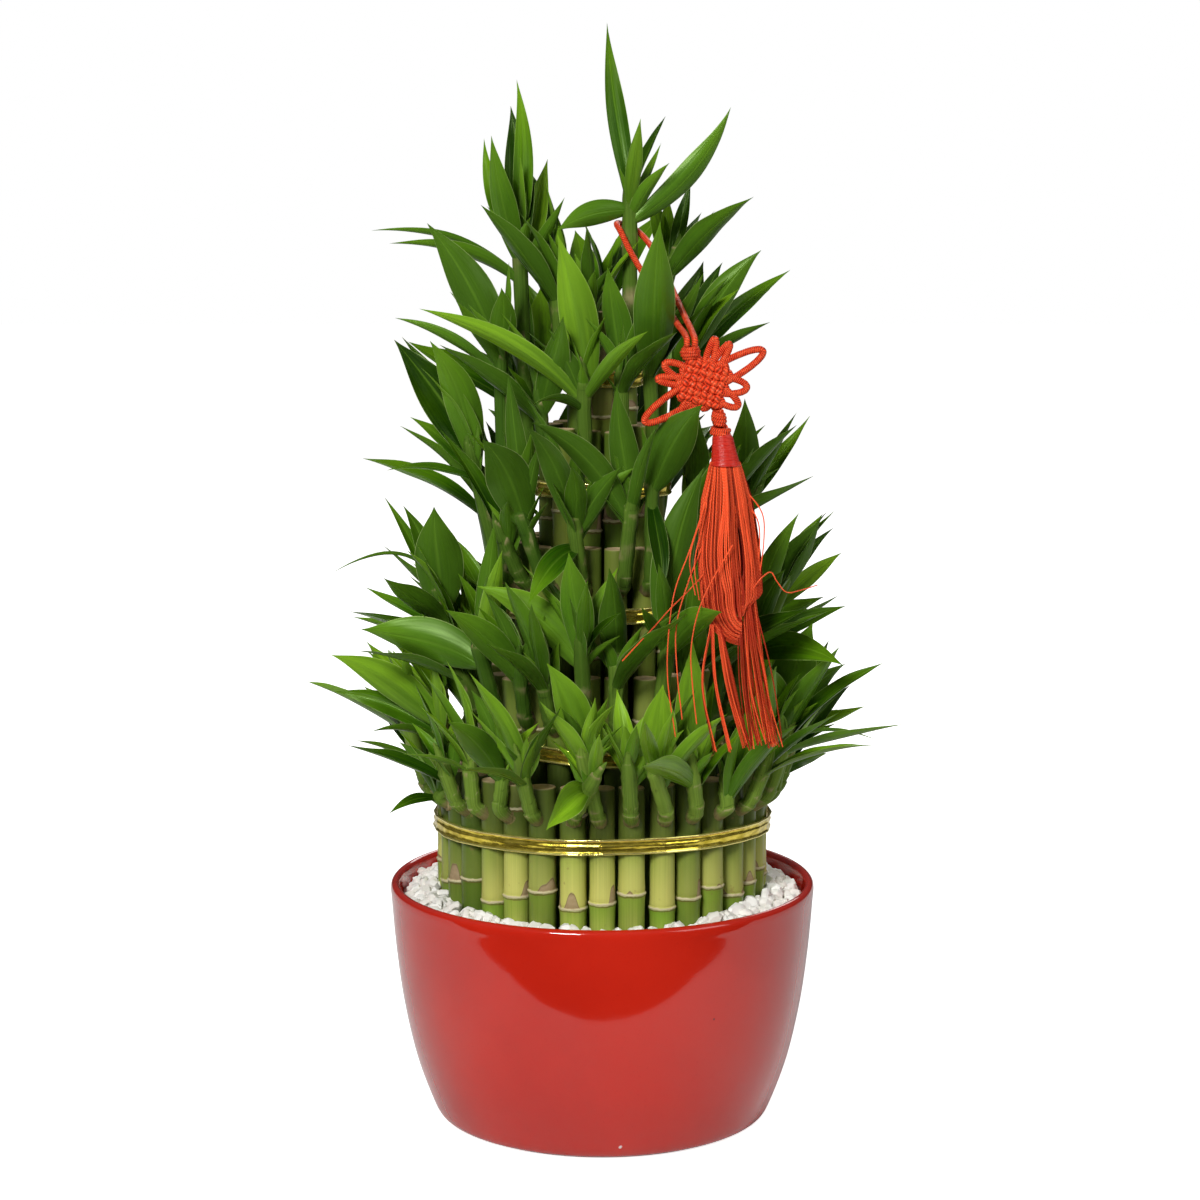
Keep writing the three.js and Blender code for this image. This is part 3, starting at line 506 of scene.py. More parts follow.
MOTTLE = Mottle("Mottle")
FIBRES = Fibres("Fibres")
PLIES = Plies("Plies")


@dataclass(frozen=True)
class Finish:
    """A material: a name and what the shader's plain sockets hold."""

    name: str
    plain: tuple[tuple[str, object], ...] = ()

    def material(self) -> bpy.types.Material:
        """The material, made on first use."""
        found = bpy.data.materials.get(self.name)
        if found:
            return found
        made = bpy.data.materials.new(self.name)
        made.use_nodes = True
        graph = Graph(made.node_tree)
        shader = made.node_tree.nodes["Principled BSDF"]
        for key, value in self.plain:
            shader.inputs[key].default_value = value
        for key, socket in self.paint(graph).items():
            graph.feed(shader.inputs[key], socket)
        return made

    def paint(self, graph: Graph) -> dict[str, Socket]:
        """Makes the finish's nodes and says which of the shader's inputs they feed.

        Args:
            graph: The material's nodes.

        Returns:
            A socket for each input of the shader, by name.
        """
        raise NotImplementedError


@dataclass(frozen=True)
class Glaze(Finish):
    """Deep red glossy glaze, a little uneven, bare pale clay on the foot ring, with a few small flaws."""

    # Each flaw's place, its reach in metres and its colour
    flaws: tuple = (((0.0078, -0.0764, 0.0070), 0.0007, (0.80, 0.72, 0.68)),
                    ((0.0478, -0.0778, 0.0643), 0.0003, (0.05, 0.006, 0.004)),
                    ((-0.0650, -0.0435, 0.0088), 0.0006, (0.06, 0.006, 0.004)))

    def paint(self, graph: Graph) -> dict[str, Socket]:
        """Broad and fine patches of red, with bare clay below the foot's edge."""
        place = graph.place()
        broad = MOTTLE.use(graph, Vector=place, Scale=14.0, Low=0.35, High=0.65)
        fine = MOTTLE.use(graph, Vector=place, Scale=900.0, Low=0.62, High=0.72)
        bare = graph.span(graph.split(place)[2], 0.0006, 0.0002)
        colour = graph.blend(broad, (0.49, 0.0148, 0.0055), (0.555, 0.0183, 0.0068))
        colour = graph.coats(colour, (fine, 0.22, (0.36, 0.009, 0.004)), (bare, 1.0, (0.55, 0.42, 0.33)))
        ragged = graph.times(graph.noise(place, 900.0), 0.0012)
        for spot, reach, shade in self.flaws:
            away = graph.add("ShaderNodeVectorMath", {0: place, 1: spot}, operation="DISTANCE")
            away = graph.math("ADD", away.outputs["Value"], ragged)
            inside = graph.span(away, reach + 0.0009, reach + 0.0004)
            colour = graph.blend(inside, colour, shade)
        wave = graph.bump(graph.noise(place, 45.0, 2.0), 0.0006, 0.25)
        return {"Base Color": colour, "Roughness": graph.span(bare, 0.0, 1.0, (0.09, 0.8)), "Normal": wave}


class Marble(Finish):
    """White marble gravel with cream and grey patches."""

    def paint(self, graph: Graph) -> dict[str, Socket]:
        """White, with each stone a shade of its own, and a fine broken surface."""
        place = graph.place()
        _, _, tone = graph.mark("stone")
        colour = graph.blend(tone, (0.93, 0.92, 0.88), (0.84, 0.81, 0.74))
        patch = MOTTLE.use(graph, Vector=place, Scale=260.0, Low=0.45, High=0.7)
        colour = graph.coats(colour, (patch, 0.25, (0.70, 0.66, 0.58)))
        grain = graph.noise(place, 1500.0, 3.0, 0.6)
        return {"Base Color": colour, "Roughness": graph.span(grain, 0.2, 0.8, (0.45, 0.7)),
                "Normal": graph.bump(grain, 0.0004, 0.5)}


class CaneSkin(Finish):
    """A cane: waxy yellow-green skin, pale bands with papery scars at the joints, a tan cut top."""

    def paint(self, graph: Graph) -> dict[str, Socket]:
        """Streaked green by the cane's tone, which is partly painted shade, cream and brown near the joints,
        tan on the cut, with painted shade of the leaves from just above the outer ribbon up.
        """
        place = graph.place()
        near, cut, tone = graph.mark("cane")
        turn, height, seed = graph.mark("skin")
        streak = FIBRES.use(graph, Across=turn, Along=height, Seed=seed, Lines=22.0, Stretch=9.0)
        broad = FIBRES.use(graph, Across=turn, Along=height, Seed=seed, Lines=2.2, Stretch=26.0)
        lit = graph.span(tone, 0.0, 0.5, (0.12, 1.0))
        above = graph.times(graph.span(near, 24.0, 2.0), graph.span(near, -0.5, 0.5))
        beneath = graph.times(graph.span(near, -16.0, -1.0), graph.span(near, 0.5, -0.5))
        # Painted shade of the leaves over the outer ring's canes, from just above its ribbon to just above
        # its cut tops
        painted_leaf_shade = graph.times(graph.span(height, 0.130, 0.146), graph.span(height, 0.178, 0.166))
        skin = graph.coats(
            graph.blend(tone, (0.060, 0.115, 0.010), (0.56, 0.57, 0.130)),
            (broad, graph.times(lit, 0.6), (0.30, 0.39, 0.055)),
            (streak, 0.28, (0.07, 0.15, 0.015)),
            (above, graph.times(lit, 0.6), (0.66, 0.62, 0.17)),
            (beneath, graph.times(lit, graph.span(seed, 0.0, 1.0, (0.3, 0.8))), (0.17, 0.33, 0.020)),
            # Darker from just above the outer ribbon up: painted shade of the leaves over the canes
            (graph.span(height, 0.128, 0.150), graph.times(lit, 0.72), (0.115, 0.150, 0.018)),
            (painted_leaf_shade, 0.62, (0.034, 0.058, 0.010)))
        ragged = graph.noise(place, 420.0)
        flap = graph.noise(graph.vector(graph.times(turn, 2.3), graph.times(seed, 31.0),
                                        graph.math("SUBTRACT", height, graph.times(near, MM))), 1.0, 0.0)
        reach = graph.span(flap, 0.50, 0.72, (0.5, 8.0))
        over = graph.math("MULTIPLY_ADD", ragged, 1.6, graph.math("SUBTRACT", near, reach))
        worn = graph.times(graph.span(over, 1.0, 0.3), graph.span(near, -0.3, 0.3))
        frayed = graph.times(worn, graph.span(over, -0.9, 0.6))
        paper = graph.blend(ragged, (0.46, 0.33, 0.21), (0.22, 0.13, 0.075))
        wander = graph.math("MULTIPLY_ADD", ragged, 1.2, graph.math("SUBTRACT", near, 0.6))
        colour = graph.coats(
            skin,
            (worn, 0.85, graph.coats(paper, (frayed, 0.8, (0.11, 0.06, 0.03)))),
            (graph.span(graph.math("ABSOLUTE", wander), 0.75, 0.3), 0.9, (0.62, 0.55, 0.33)),
            (graph.span(graph.math("ABSOLUTE", graph.math("ADD", wander, 1.0)), 0.5, 0.15), 0.7,
             (0.13, 0.085, 0.03)),
            (MOTTLE.use(graph, Vector=place, Scale=240.0, Low=0.66, High=0.74), 0.55, (0.22, 0.15, 0.05)),
            (cut, 1.0, graph.blend(ragged, (0.62, 0.50, 0.29), (0.40, 0.27, 0.12))))
        rough = graph.math("MAXIMUM", graph.times(worn, 0.9), cut)
        relief = graph.math("ADD", graph.times(streak, 0.25), graph.times(worn, 0.8))
        return {"Base Color": colour, "Roughness": graph.span(rough, 0.0, 1.0, (0.33, 0.78)),
                "Normal": graph.bump(relief, 0.0003, 0.6)}


class LeafBlade(Finish):
    """A leaf: satin green with parallel veins, a groove at the middle, thin pale edges, a dark tip."""

    def paint(self, graph: Graph) -> dict[str, Socket]:
        """Green by the leaf's tone, which is partly painted light and shade, veined along, with painted sheen
        patches, painted shade towards the stem and painted light towards the tip, paler at its root and
        below.
        """
        across, along, upper = graph.mark("blade")
        tone, seed, _ = graph.mark("leaf")
        vein = FIBRES.use(graph, Across=across, Along=along, Seed=seed, Lines=9.0, Stretch=1.6)
        band = FIBRES.use(graph, Across=across, Along=along, Seed=seed, Lines=2.6, Stretch=1.1)
        patch = MOTTLE.use(graph, Vector=graph.place(), Scale=38.0, Low=0.4, High=0.7)
        # From dark to bright: the leaf's own green together with painted shade and painted light
        green = graph.add("ShaderNodeValToRGB", {0: tone})
        ramp = green.color_ramp.elements
        ramp[0].color = (0.0045, 0.023, 0.0006, 1)
        ramp[1].color = (0.33, 0.58, 0.026, 1)
        ramp.new(0.5).color = (0.028, 0.112, 0.0012, 1)
        lift = graph.span(tone, 0.0, 0.7, (0.12, 0.42))
        offset = graph.math("ABSOLUTE", across)
        rib = graph.span(offset, 0.10, 0.02)
        colour = graph.coats(
            green.outputs[0],
            (vein, lift, (0.125, 0.290, 0.006)),
            (band, 0.62, (0.0055, 0.030, 0.0006)),
            # Pale patches: painted sheen
            (patch, lift, (0.13, 0.30, 0.006)),
            (rib, 0.38, (0.14, 0.28, 0.02)),
            (graph.span(offset, 0.955, 0.99), 0.65, (0.42, 0.55, 0.18)),
            # Deeper towards the stem: painted shade of the inner foliage
            (graph.span(along, 0.55, 0.10), 0.52, (0.005, 0.030, 0.0008)),
            # Brighter towards the tips of the brighter leaves: painted light
            (graph.times(graph.span(along, 0.40, 0.90), tone), 0.48, (0.30, 0.56, 0.018)),
            (graph.span(along, 0.13, 0.02), 0.5, (0.17, 0.31, 0.05)),
            (graph.span(along, 0.965, 0.995), 0.7, (0.06, 0.05, 0.012)),
            (graph.math("SUBTRACT", 1.0, upper), 0.45, (0.10, 0.22, 0.018)))
        relief = graph.math("SUBTRACT", graph.times(vein, 0.10), graph.times(rib, 0.6))
        relief = graph.math("MULTIPLY_ADD", band, 0.5, relief)
        return {"Base Color": colour, "Roughness": graph.span(band, 0.0, 1.0, (0.25, 0.36)),
                "Normal": graph.bump(relief, 0.0004, 0.5)}


class Sheath(Finish):
    """A shoot's stem: pale green sheaths with dry papery edges, and painted shadow where the next one starts.
    """

    def paint(self, graph: Graph) -> dict[str, Socket]:
        """Pale green, lined along, with a thin brown-edged step at each sheath and a painted shadow just past
        it.
        """
        place = graph.place()
        step, height, tone = graph.mark("sheath")
        turn, _, seed = graph.mark("skin")
        line = FIBRES.use(graph, Across=turn, Along=height, Seed=seed, Lines=16.0, Stretch=12.0)
        foot = graph.math("ADD", height, graph.times(graph.noise(place, 500.0), 0.006))
        dry = MOTTLE.use(graph, Vector=place, Scale=150.0, Low=0.48, High=0.60)
        colour = graph.coats(
            graph.blend(tone, (0.030, 0.085, 0.006), (0.22, 0.33, 0.045)),
            (step, 0.35, (0.15, 0.26, 0.035)),
            (line, 0.35, (0.025, 0.075, 0.006)),
            (graph.span(foot, 0.0125, 0.0085), 0.75, (0.24, 0.165, 0.085)),
            (graph.times(dry, graph.span(step, 0.55, 0.95)), 0.7, (0.33, 0.26, 0.13)),
            # Dark just past each sheath's edge: painted shadow of the edge
            (graph.span(step, 0.16, 0.02), 0.55, (0.014, 0.036, 0.003)),
            (graph.span(step, 0.84, 0.96), 0.5, (0.36, 0.34, 0.15)))
        return {"Base Color": colour, "Roughness": graph.span(line, 0.0, 1.0, (0.36, 0.5)),
                "Normal": graph.bump(line, 0.0003, 0.5)}


class Foil(Finish):
    """Gold foil ribbon: bright metal with lengthwise creases."""

    def paint(self, graph: Graph) -> dict[str, Socket]:
        """Greenish gold, with painted shade in the creases that run along it and painted highlights at its
        rolled edges.
        """
        across, along, seed = graph.mark("strip")
        crease = FIBRES.use(graph, Across=across, Along=along, Seed=seed, Lines=2.0, Stretch=0.22)
        crinkle = graph.noise(graph.place(), 90.0, 2.0)
        edge = graph.span(graph.math("ABSOLUTE", across), 0.68, 0.8)
        # Darker in the creases: painted shade
        flat = graph.blend(crease, (1.0, 0.80, 0.12), (0.55, 0.42, 0.03))
        # Brighter at the rolled edges: painted highlight
        colour = graph.blend(edge, flat, (1.0, 0.90, 0.28))
        relief = graph.math("MULTIPLY_ADD", crinkle, 0.8, graph.times(crease, 0.5))
        return {"Base Color": colour, "Roughness": graph.span(crinkle, 0.2, 0.8, (0.10, 0.24)),
                "Normal": graph.bump(relief, 0.0004, 0.22)}


class SatinCord(Finish):
    """Red satin cord with fine ribs laid round it."""

    def paint(self, graph: Graph) -> dict[str, Socket]:
        """Bright on the ribs with painted shade between them, and painted highlight streaks along the cord.
        """
        turn, along, _ = graph.mark("lay")
        rib = PLIES.use(graph, Around=turn, Along=along, Strands=2.0, Lay=0.8)
        worn = FIBRES.use(graph, Across=turn, Along=along, Lines=5.0, Stretch=0.35)
        # Deep red between the ribs: painted shade in the grooves
        colour = graph.blend(rib, (0.19, 0.004, 0.003), (1.0, 0.060, 0.016))
        # Bright orange streaks: painted highlights along the cord
        colour = graph.coats(colour, (worn, 0.45, (1.0, 0.15, 0.048)))
        return {"Base Color": colour, "Roughness": graph.span(worn, 0.0, 1.0, (0.42, 0.28)),
                "Normal": graph.bump(rib, 0.00035, 0.7)}


class SatinBinding(Finish):
    """Red satin thread bound closely round the tassel's head."""

    def paint(self, graph: Graph) -> dict[str, Socket]:
        """Deep red in level turns, uneven round the head."""
        turn, along, _ = graph.mark("lay")
        wound = PLIES.use(graph, Along=along, Strands=0.0, Lay=0.55)
        uneven = FIBRES.use(graph, Across=along, Along=turn, Lines=2.4, Stretch=4.0)
        colour = graph.blend(wound, (0.32, 0.008, 0.005), (0.66, 0.022, 0.012))
        colour = graph.coats(colour, (uneven, 0.3, (0.80, 0.05, 0.02)))
        return {"Base Color": colour, "Roughness": graph.span(uneven, 0.0, 1.0, (0.24, 0.36)),
                "Normal": graph.bump(wound, 0.0002, 0.5)}


class SilkThread(Finish):
    """Red silk threads of the tassel, each a shade of its own."""

    def paint(self, graph: Graph) -> dict[str, Socket]:
        """Red by the thread's tone, with painted shade where the skirt folds in and painted glints along a
        fine twist.
        """
        turn, along, tone = graph.mark("lay")
        start = graph.math("MULTIPLY_ADD", tone, 40.0, along)
        twist = PLIES.use(graph, Around=turn, Along=start, Strands=2.0, Lay=1.3)
        _, _, z = graph.split(graph.place())
        # Crimson where the skirt folds in: painted shade
        fold_shade = graph.times(graph.span(z, 0.272, 0.246), graph.span(z, 0.224, 0.234))
        colour = graph.coats(graph.blend(tone, (0.10, 0.002, 0.002), (1.0, 0.068, 0.018)),
                             (fold_shade, 0.5, (0.40, 0.007, 0.008)),
                             # Orange on the twist of the brighter threads: painted glints
                             (twist, graph.times(tone, 0.9), (1.0, 0.185, 0.062)))
        return {"Base Color": colour, "Roughness": graph.span(twist, 0.0, 1.0, (0.28, 0.40)),
                "Normal": graph.bump(twist, 0.0002, 0.5)}


class FloorPaint(Finish):
    """Plain pale floor."""

    def paint(self, graph: Graph) -> dict[str, Socket]:
        """Off-white with the faintest unevenness, which throws little light back up."""
        patch = MOTTLE.use(graph, Vector=graph.place(), Scale=3.0, Low=0.3, High=0.7)
        pale = graph.blend(patch, (0.90, 0.90, 0.89), (0.92, 0.92, 0.91))
        ray = graph.add("ShaderNodeLightPath").outputs
        return {"Base Color": graph.blend(ray["Is Diffuse Ray"], pale, (0.62, 0.62, 0.61)),
                "Emission Strength": graph.times(ray["Is Camera Ray"], 0.9)}


class FlagFelt(Finish):
    """Dark felt of the card that only gloss sees."""

    def paint(self, graph: Graph) -> dict[str, Socket]:
        """Nearly black, with a faint nap."""
        return {"Base Color": graph.blend(graph.noise(graph.place(), 40.0), (0.004, 0.003, 0.003),
                                          (0.012, 0.01, 0.01))}


GLAZE = Glaze("Red glaze", (("Coat Weight", 0.35), ("Coat Roughness", 0.03)))
MARBLE = Marble("White marble gravel")
CANE_SKIN = CaneSkin("Cane skin", (("Specular IOR Level", 0.25),))
LEAF_BLADE = LeafBlade("Leaf blade", (("Specular IOR Level", 0.22),
                                      ("Specular Tint", (0.72, 1.0, 0.42, 1.0))))
SHEATH = Sheath("Shoot sheath", (("Specular IOR Level", 0.12), ("Specular Tint", (0.7, 1.0, 0.35, 1.0))))
FOIL = Foil("Gold foil", (("Metallic", 0.88),))
SATIN_CORD = SatinCord("Red satin cord", (("Specular Tint", (1.0, 0.55, 0.35, 1.0)),))
SATIN_BINDING = SatinBinding("Red satin binding")
SILK_THREAD = SilkThread("Red silk thread", (("Specular Tint", (1.0, 0.45, 0.22, 1.0)),))
FLOOR_PAINT = FloorPaint("Pale floor", (("Roughness", 0.6), ("Specular IOR Level", 0.2),
                                         ("Emission Color", (1.0, 0.99, 0.98, 1.0))))
FLAG_FELT = FlagFelt("Dark felt", (("Roughness", 1.0), ("Specular IOR Level", 0.0)))


@dataclass(frozen=True)
class Studio:
    """Camera at the photograph's angle, soft lights and a plain pale floor, in metres."""

    eye: tuple[float, float, float] = (-0.001, -1.3, 0.432)
    pitch: float = 8.69
    lens: float = 88.86
    floor: float = 6.0
    aim: tuple[float, float, float] = (0.0, 0.0, 0.22)
    # Each light's name, place, side and power
    lamps: tuple = (("Key light", (-0.7, -1.9, 1.35), 0.6, 47.0), ("Fill light", (1.5, -1.0, 1.1), 1.0, 8.0),
                    ("Back light", (0.3, 1.6, 1.5), 1.2, 15.0))
    # The dark card's near edge, and the right half of its far one, which follows the bowl's outline
    near_edge: tuple = ((-2.0, -3.0), (2.0, -3.0))
    far_edge: tuple = ((2.0, -0.13), (0.321, -0.13), (0.25, -0.17), (0.191, -0.1975), (0.078, -0.203))
    card_lift: float = 0.001

    def camera(self) -> None:
        """Sets the scene's camera."""
        data = bpy.data.cameras.new("Camera")
        data.lens = self.lens
        data.sensor_width = 36.0
        data.clip_start = 0.05
        held = placed("Camera", data)
        held.location = self.eye
        held.rotation_euler = (math.radians(90 - self.pitch), 0.0, 0.0)
        bpy.context.scene.camera = held

    def lamp(self, name: str, place: tuple[float, float, float], size: float, watts: float) -> None:
        """Adds a square soft light that faces the middle of the tower.

        Args:
            name: The light's name.
            place: Where it stands.
            size: Its side.
            watts: Its power.
        """
        data = bpy.data.lights.new(name, "AREA")
        data.size = size
        data.energy = watts
        held = placed(name, data)
        held.location = place
        held.rotation_mode = "QUATERNION"
        held.rotation_quaternion = (Vector(self.aim) - Vector(place)).to_track_quat("-Z", "Y")

    @staticmethod
    def sheet(name: str, outline: Sequence, z: float, finish: Finish) -> bpy.types.Object:
        """A level sheet over an outline.

        Args:
            name: The sheet's name.
            outline: Its corners, anticlockwise from above.
            z: Its height.
            finish: Its finish.

        Returns:
            The sheet.
        """
        mesh = bpy.data.meshes.new(name)
        mesh.from_pydata([(x, y, z) for x, y in outline], [], [tuple(range(len(outline)))])
        mesh.materials.append(finish.material())
        return placed(name, mesh)

    def build(self) -> None:
        """Adds the lights, the world, the floor and a dark card in front that only gloss sees.

        The card ends the pale floor's reflection in the glaze.
        """
        for numbers in self.lamps:
            self.lamp(*numbers)
        self.sky()
        bpy.context.scene.view_settings.view_transform = "Standard"
        r = self.floor
        ground = self.sheet("Floor", ((-r, -r), (r, -r), (r, r), (-r, r)), 0.0, FLOOR_PAINT)
        mirrored = tuple((-x, y) for x, y in reversed(self.far_edge))
        outline = (*self.near_edge, *self.far_edge, *mirrored)
        flag = self.sheet("Dark flag", outline, self.card_lift, FLAG_FELT)
        flag.visible_camera = flag.visible_diffuse = flag.visible_shadow = False

    def sky(self) -> None:
        """A white surround, bright overhead and dimmer level with the tower, that shows as plain white."""
        world = bpy.data.worlds.new("Studio")
        world.use_nodes = True
        graph = Graph(world.node_tree)
        _, _, height = graph.split(graph.add("ShaderNodeTexCoord").outputs["Generated"])
        dome = graph.span(height, 0.05, 0.8, (0.04, 0.16))
        seen = graph.add("ShaderNodeLightPath").outputs["Is Camera Ray"]
        level = graph.add("ShaderNodeMix", {0: seen, 2: dome, 3: 1.0}, data_type="FLOAT")
        ground = world.node_tree.nodes["Background"]
        ground.inputs[0].default_value = (1.0, 1.0, 1.0, 1.0)
        graph.feed(ground.inputs[1], level.outputs[0])
        bpy.context.scene.world = world


@dataclass(frozen=True)
class HangingCord:
    """The knot's cord: up from its button, round the top shoot's stem and back."""

    thick: float = 2.7
    sides: int = 14
    steps: int = 9
    lay: float = 5.2
    hint: tuple[float, float, float] = (0.8, 0.55, 0.2)
    route: tuple = (
        (38.3, -71, 350.6), (38.3, -71, 353), (37.2, -65, 356.4), (35, -55, 361), (31.9, -44, 367.5),
        (27.6, -31, 377), (23, -20, 386.5), (18.2, -12.4, 393.4), (13.4, -9.8, 397.4),
        (8.2, -10.6, 399.4), (6.2, -15.2, 399.4), (7.8, -19.4, 396.4), (11.4, -22.4, 389),
        (16.4, -26, 380.4), (22, -33, 371.6), (27.6, -43, 364.4), (32, -57, 358), (34.4, -67, 355),
        (35, -71, 353), (35, -71, 350.6),
    )

    def build(self) -> None:
        """Makes the cord, from its first station to its last."""
        line = smooth(self.route, self.steps)
        skin = Skin()
        skin.add(*twisted(line, self.thick / 2, self.sides, self.lay, np.array(self.hint)))
        piece = skin.piece("hanging_cord_twisted", [SATIN_CORD], "cord_red", ["hanging_cord"])


def twisted(line: Array, radius: float, sides: int, lay: float, hint: Array) -> Skinned:
    """A cord of three strands that twist along it.

    Its radius is radius (1 - groove + groove |cos(3/2 (a - twist))|), the twist growing with the way.

    Args:
        line: The cord's stations.
        radius: Its outer radius.
        sides: Points on a ring.
        lay: Length in which a strand goes once round.
        hint: A direction that no part of the line runs along.

    Returns:
        The rings and their marks.
    """
    way = travelled(line)[:, None]
    a = turns(sides)
    wide = radius * (1 - GROOVE + GROOVE * np.abs(np.cos(1.5 * (a - way / lay * 2 * np.pi))))
    return tube(line, wide, sides, hint), {"lay": stacked(a / (2 * np.pi), way, 0.5)}


@dataclass(frozen=True)
class Bowl:
    """The glazed bowl, as radius and height down the outside, over the rim and down the inside."""

    outside: tuple = ((70.6, 0.5), (72.6, 1.2), (74.5, 2.6), (78, 10), (84.2, 28), (89.6, 53), (92.9, 78),
                      (94.7, 100))
    rim: tuple = ((95, 104.2), (94.6, 106.2), (93, 107.3), (91.8, 106.9), (90.9, 105.6))
    inside: tuple = ((90.2, 102), (88.4, 78), (84.4, 50), (77.4, 23), (68, 8), (56, 6.2), (30, 6), (4, 6))
    foot: tuple = ((4, 1.0), (40, 1.0), (60, 1.0), (62.5, 0.8), (63.5, 0.1), (65, 0), (69, 0), (70, 0.1))
    sides: int = 160
    steps: int = 5

    def build(self) -> None:
        """Turns the smoothed profile about the tower's axis."""
        profile = np.array([*self.foot, *self.outside, *self.rim, *self.inside])
        line = smooth(np.column_stack([profile, np.zeros(len(profile))]), self.steps)[:, :2]
        skin = Skin()
        skin.add(around(shares(self.sides) * 360, line[:, :1], np.maximum(line[:, 1:], 0.0)))
        skin.piece("glazed_bowl", [GLAZE], "pot_glaze", ["bowl"], sharp=80)


@dataclass(frozen=True)
class Pebbles:
    """Loose marble gravel between the canes and the bowl, on a bed of the same stone."""

    # Each row's radius, height and number of stones
    rows: tuple = ((76.0, 104.4, 84), (79.6, 103.4, 84), (83.2, 101.9, 86), (86.2, 100.6, 84),
                   (77.8, 101.0, 70), (84.6, 99.2, 74), (73.9, 103.6, 33))
    row_turn: float = 2.1
    scatter: tuple[float, float, float] = (1.6, 0.9, 1.0)
    size: Span = (2.6, 4.2)
    rough: Span = (0.88, 1.08)
    squeeze: tuple = ((0.95, 0.75, 0.55), (1.25, 1.0, 0.85))
    front_dip: float = 3.2
    bed: tuple = ((61.2, 6.3), (66.4, 8), (76.6, 23), (83.6, 50), (87.6, 78), (88.5, 96), (86, 98),
                  (82, 99.6), (78, 100.6), (75.3, 100.6), (75.3, 24))
    bed_sides: int = 96
    sides: int = 7
    layers: int = 4
    cap: float = 0.8
    seed: int = 7

    def stones(self) -> tuple[Array, Array]:
        """The stones' rings and shades: balls squeezed, roughened and turned at random.

        Returns:
            The rings, shape (stones, layers, sides, 3), and a shade from 0 to 1 for each stone.
        """
        chance = np.random.default_rng(self.seed)
        aside, out, up = self.scatter
        places = [around(shares(n) * 360 + chance.uniform(-aside, aside, n) + row * self.row_turn,
                         r + chance.uniform(-out, out, n), z + chance.uniform(-up, up, n))
                  - self.front_dip * np.clip(np.cos(turns(n)), 0, 1)[:, None] ** 2 * UP
                  for row, (r, z, n) in enumerate(self.rows)]
        centres = np.vstack(places)
        count = len(centres)
        lift = np.linspace(-1, 1, self.layers + 2)[1:-1, None] * np.pi / 2 * self.cap
        a = turns(self.sides)
        ball = stacked(np.cos(lift) * np.cos(a), np.cos(lift) * np.sin(a), np.sin(lift))
        rough = chance.uniform(*self.rough, (count, self.layers, self.sides, 1))
        squeeze = chance.uniform(*self.squeeze, (count, 3))
        size = chance.uniform(*self.size, count)
        frames = np.linalg.qr(chance.normal(size=(count, 3, 3)))[0]
        local = ball[None] * rough * squeeze[:, None, None] * size[:, None, None, None]
        rings = np.einsum("nij,nsrj->nsri", frames, local) + centres[:, None, None]
        return rings, chance.uniform(0, 1, count)[:, None, None, None]

    def build(self) -> None:
        """Makes the bed and the stones as one piece."""
        skin = Skin()
        radius, z = np.array(self.bed).T[..., None]
        skin.add(around(shares(self.bed_sides) * 360, radius, z), {"stone": np.array(0.5)})
        rings, shade = self.stones()
        skin.add(rings, {"stone": shade})
        skin.piece("marble_gravel", [MARBLE], "pebble", ["pebbles"], sharp=38)


@dataclass(frozen=True)
class Tier:
    """One ring of canes and the rule of its shoots, as in the solids.

    Args:
        number: From 0 at the middle to 4 outside.
        ring: The radius that the canes' middles stand on.
        cane: The canes' diameter in the solids.
        groups: Clumps in the ring.
        each: Canes in a clump.
        top: Height of the cut tops.
        node: Height of the lowest joint that shows.
        band: Height of the ribbon.
        tilt: How much higher the ribbon is at the front and at the right.
        turn: How far a shoot may turn from its cane, in degrees.
        bare: Height from which the canes have joints.
        rise: How far the crowns are above the shoots' feet.
        lean: How far out they lean.
        leaves: How many leaves a shoot has.
        length: The leaves' length.
        pitch: How steeply the leaves stand, in degrees.
    """

    number: int
    ring: float
    cane: float
    groups: int
    each: int
    top: float
    node: float
    band: float
    tilt: Span
    turn: float
    bare: float
    rise: Span
    lean: Span
    leaves: Span
    length: Span
    pitch: Span

    def pick(self, inner: Span, outer: Span) -> Span:
        """The outer span for the outermost ring, or else the inner one."""
        return outer if self.number == len(TIERS) - 1 else inner

    def band_height(self, angle: float | Array) -> float | Array:
        """The height of the tier's ribbon at an angle."""
        a = np.radians(angle)
        return self.band + self.tilt[0] * np.cos(a) + self.tilt[1] * np.sin(a)


TIERS = (
    Tier(0, 12, 10.6, 6, 1, 350, 316, 332.5, (0, 0), 60, 296,
         (20, 34), (4, 9), (2, 4), (42, 70), (38, 82)),
    Tier(1, 23.3, 11.2, 6, 2, 312, 267, 284.5, (0.6, 0), 12, 244,
         (22, 44), (6, 14), (3, 4), (44, 74), (30, 78)),
    Tier(2, 35.3, 11.6, 9, 2, 260, 213, 231.5, (0.5, 0.5), 12, 190,
         (22, 44), (6, 16), (2, 4), (44, 72), (25, 75)),
    Tier(3, 48, 11.9, 12, 2, 205, 180, 172, (0, -2.5), 12, 146,
         (20, 38), (6, 16), (2, 4), (42, 70), (20, 72)),
    Tier(4, 68, 12.5, 11, 3, 163, 109, 135, (3.5, 0), 12, 94,
         (18, 34), (5, 14), (2, 3), (38, 62), (15, 72)),
)


class Tone(Enum):
    """A leaf's green, as its share of the way from the darkest to the brightest, partly its own green and
    partly painted light and shade.
    """

    DARK = 0.08
    MIDDLE = 0.42
    BRIGHT = 0.90


TONES = (Tone.DARK, Tone.MIDDLE, Tone.BRIGHT)

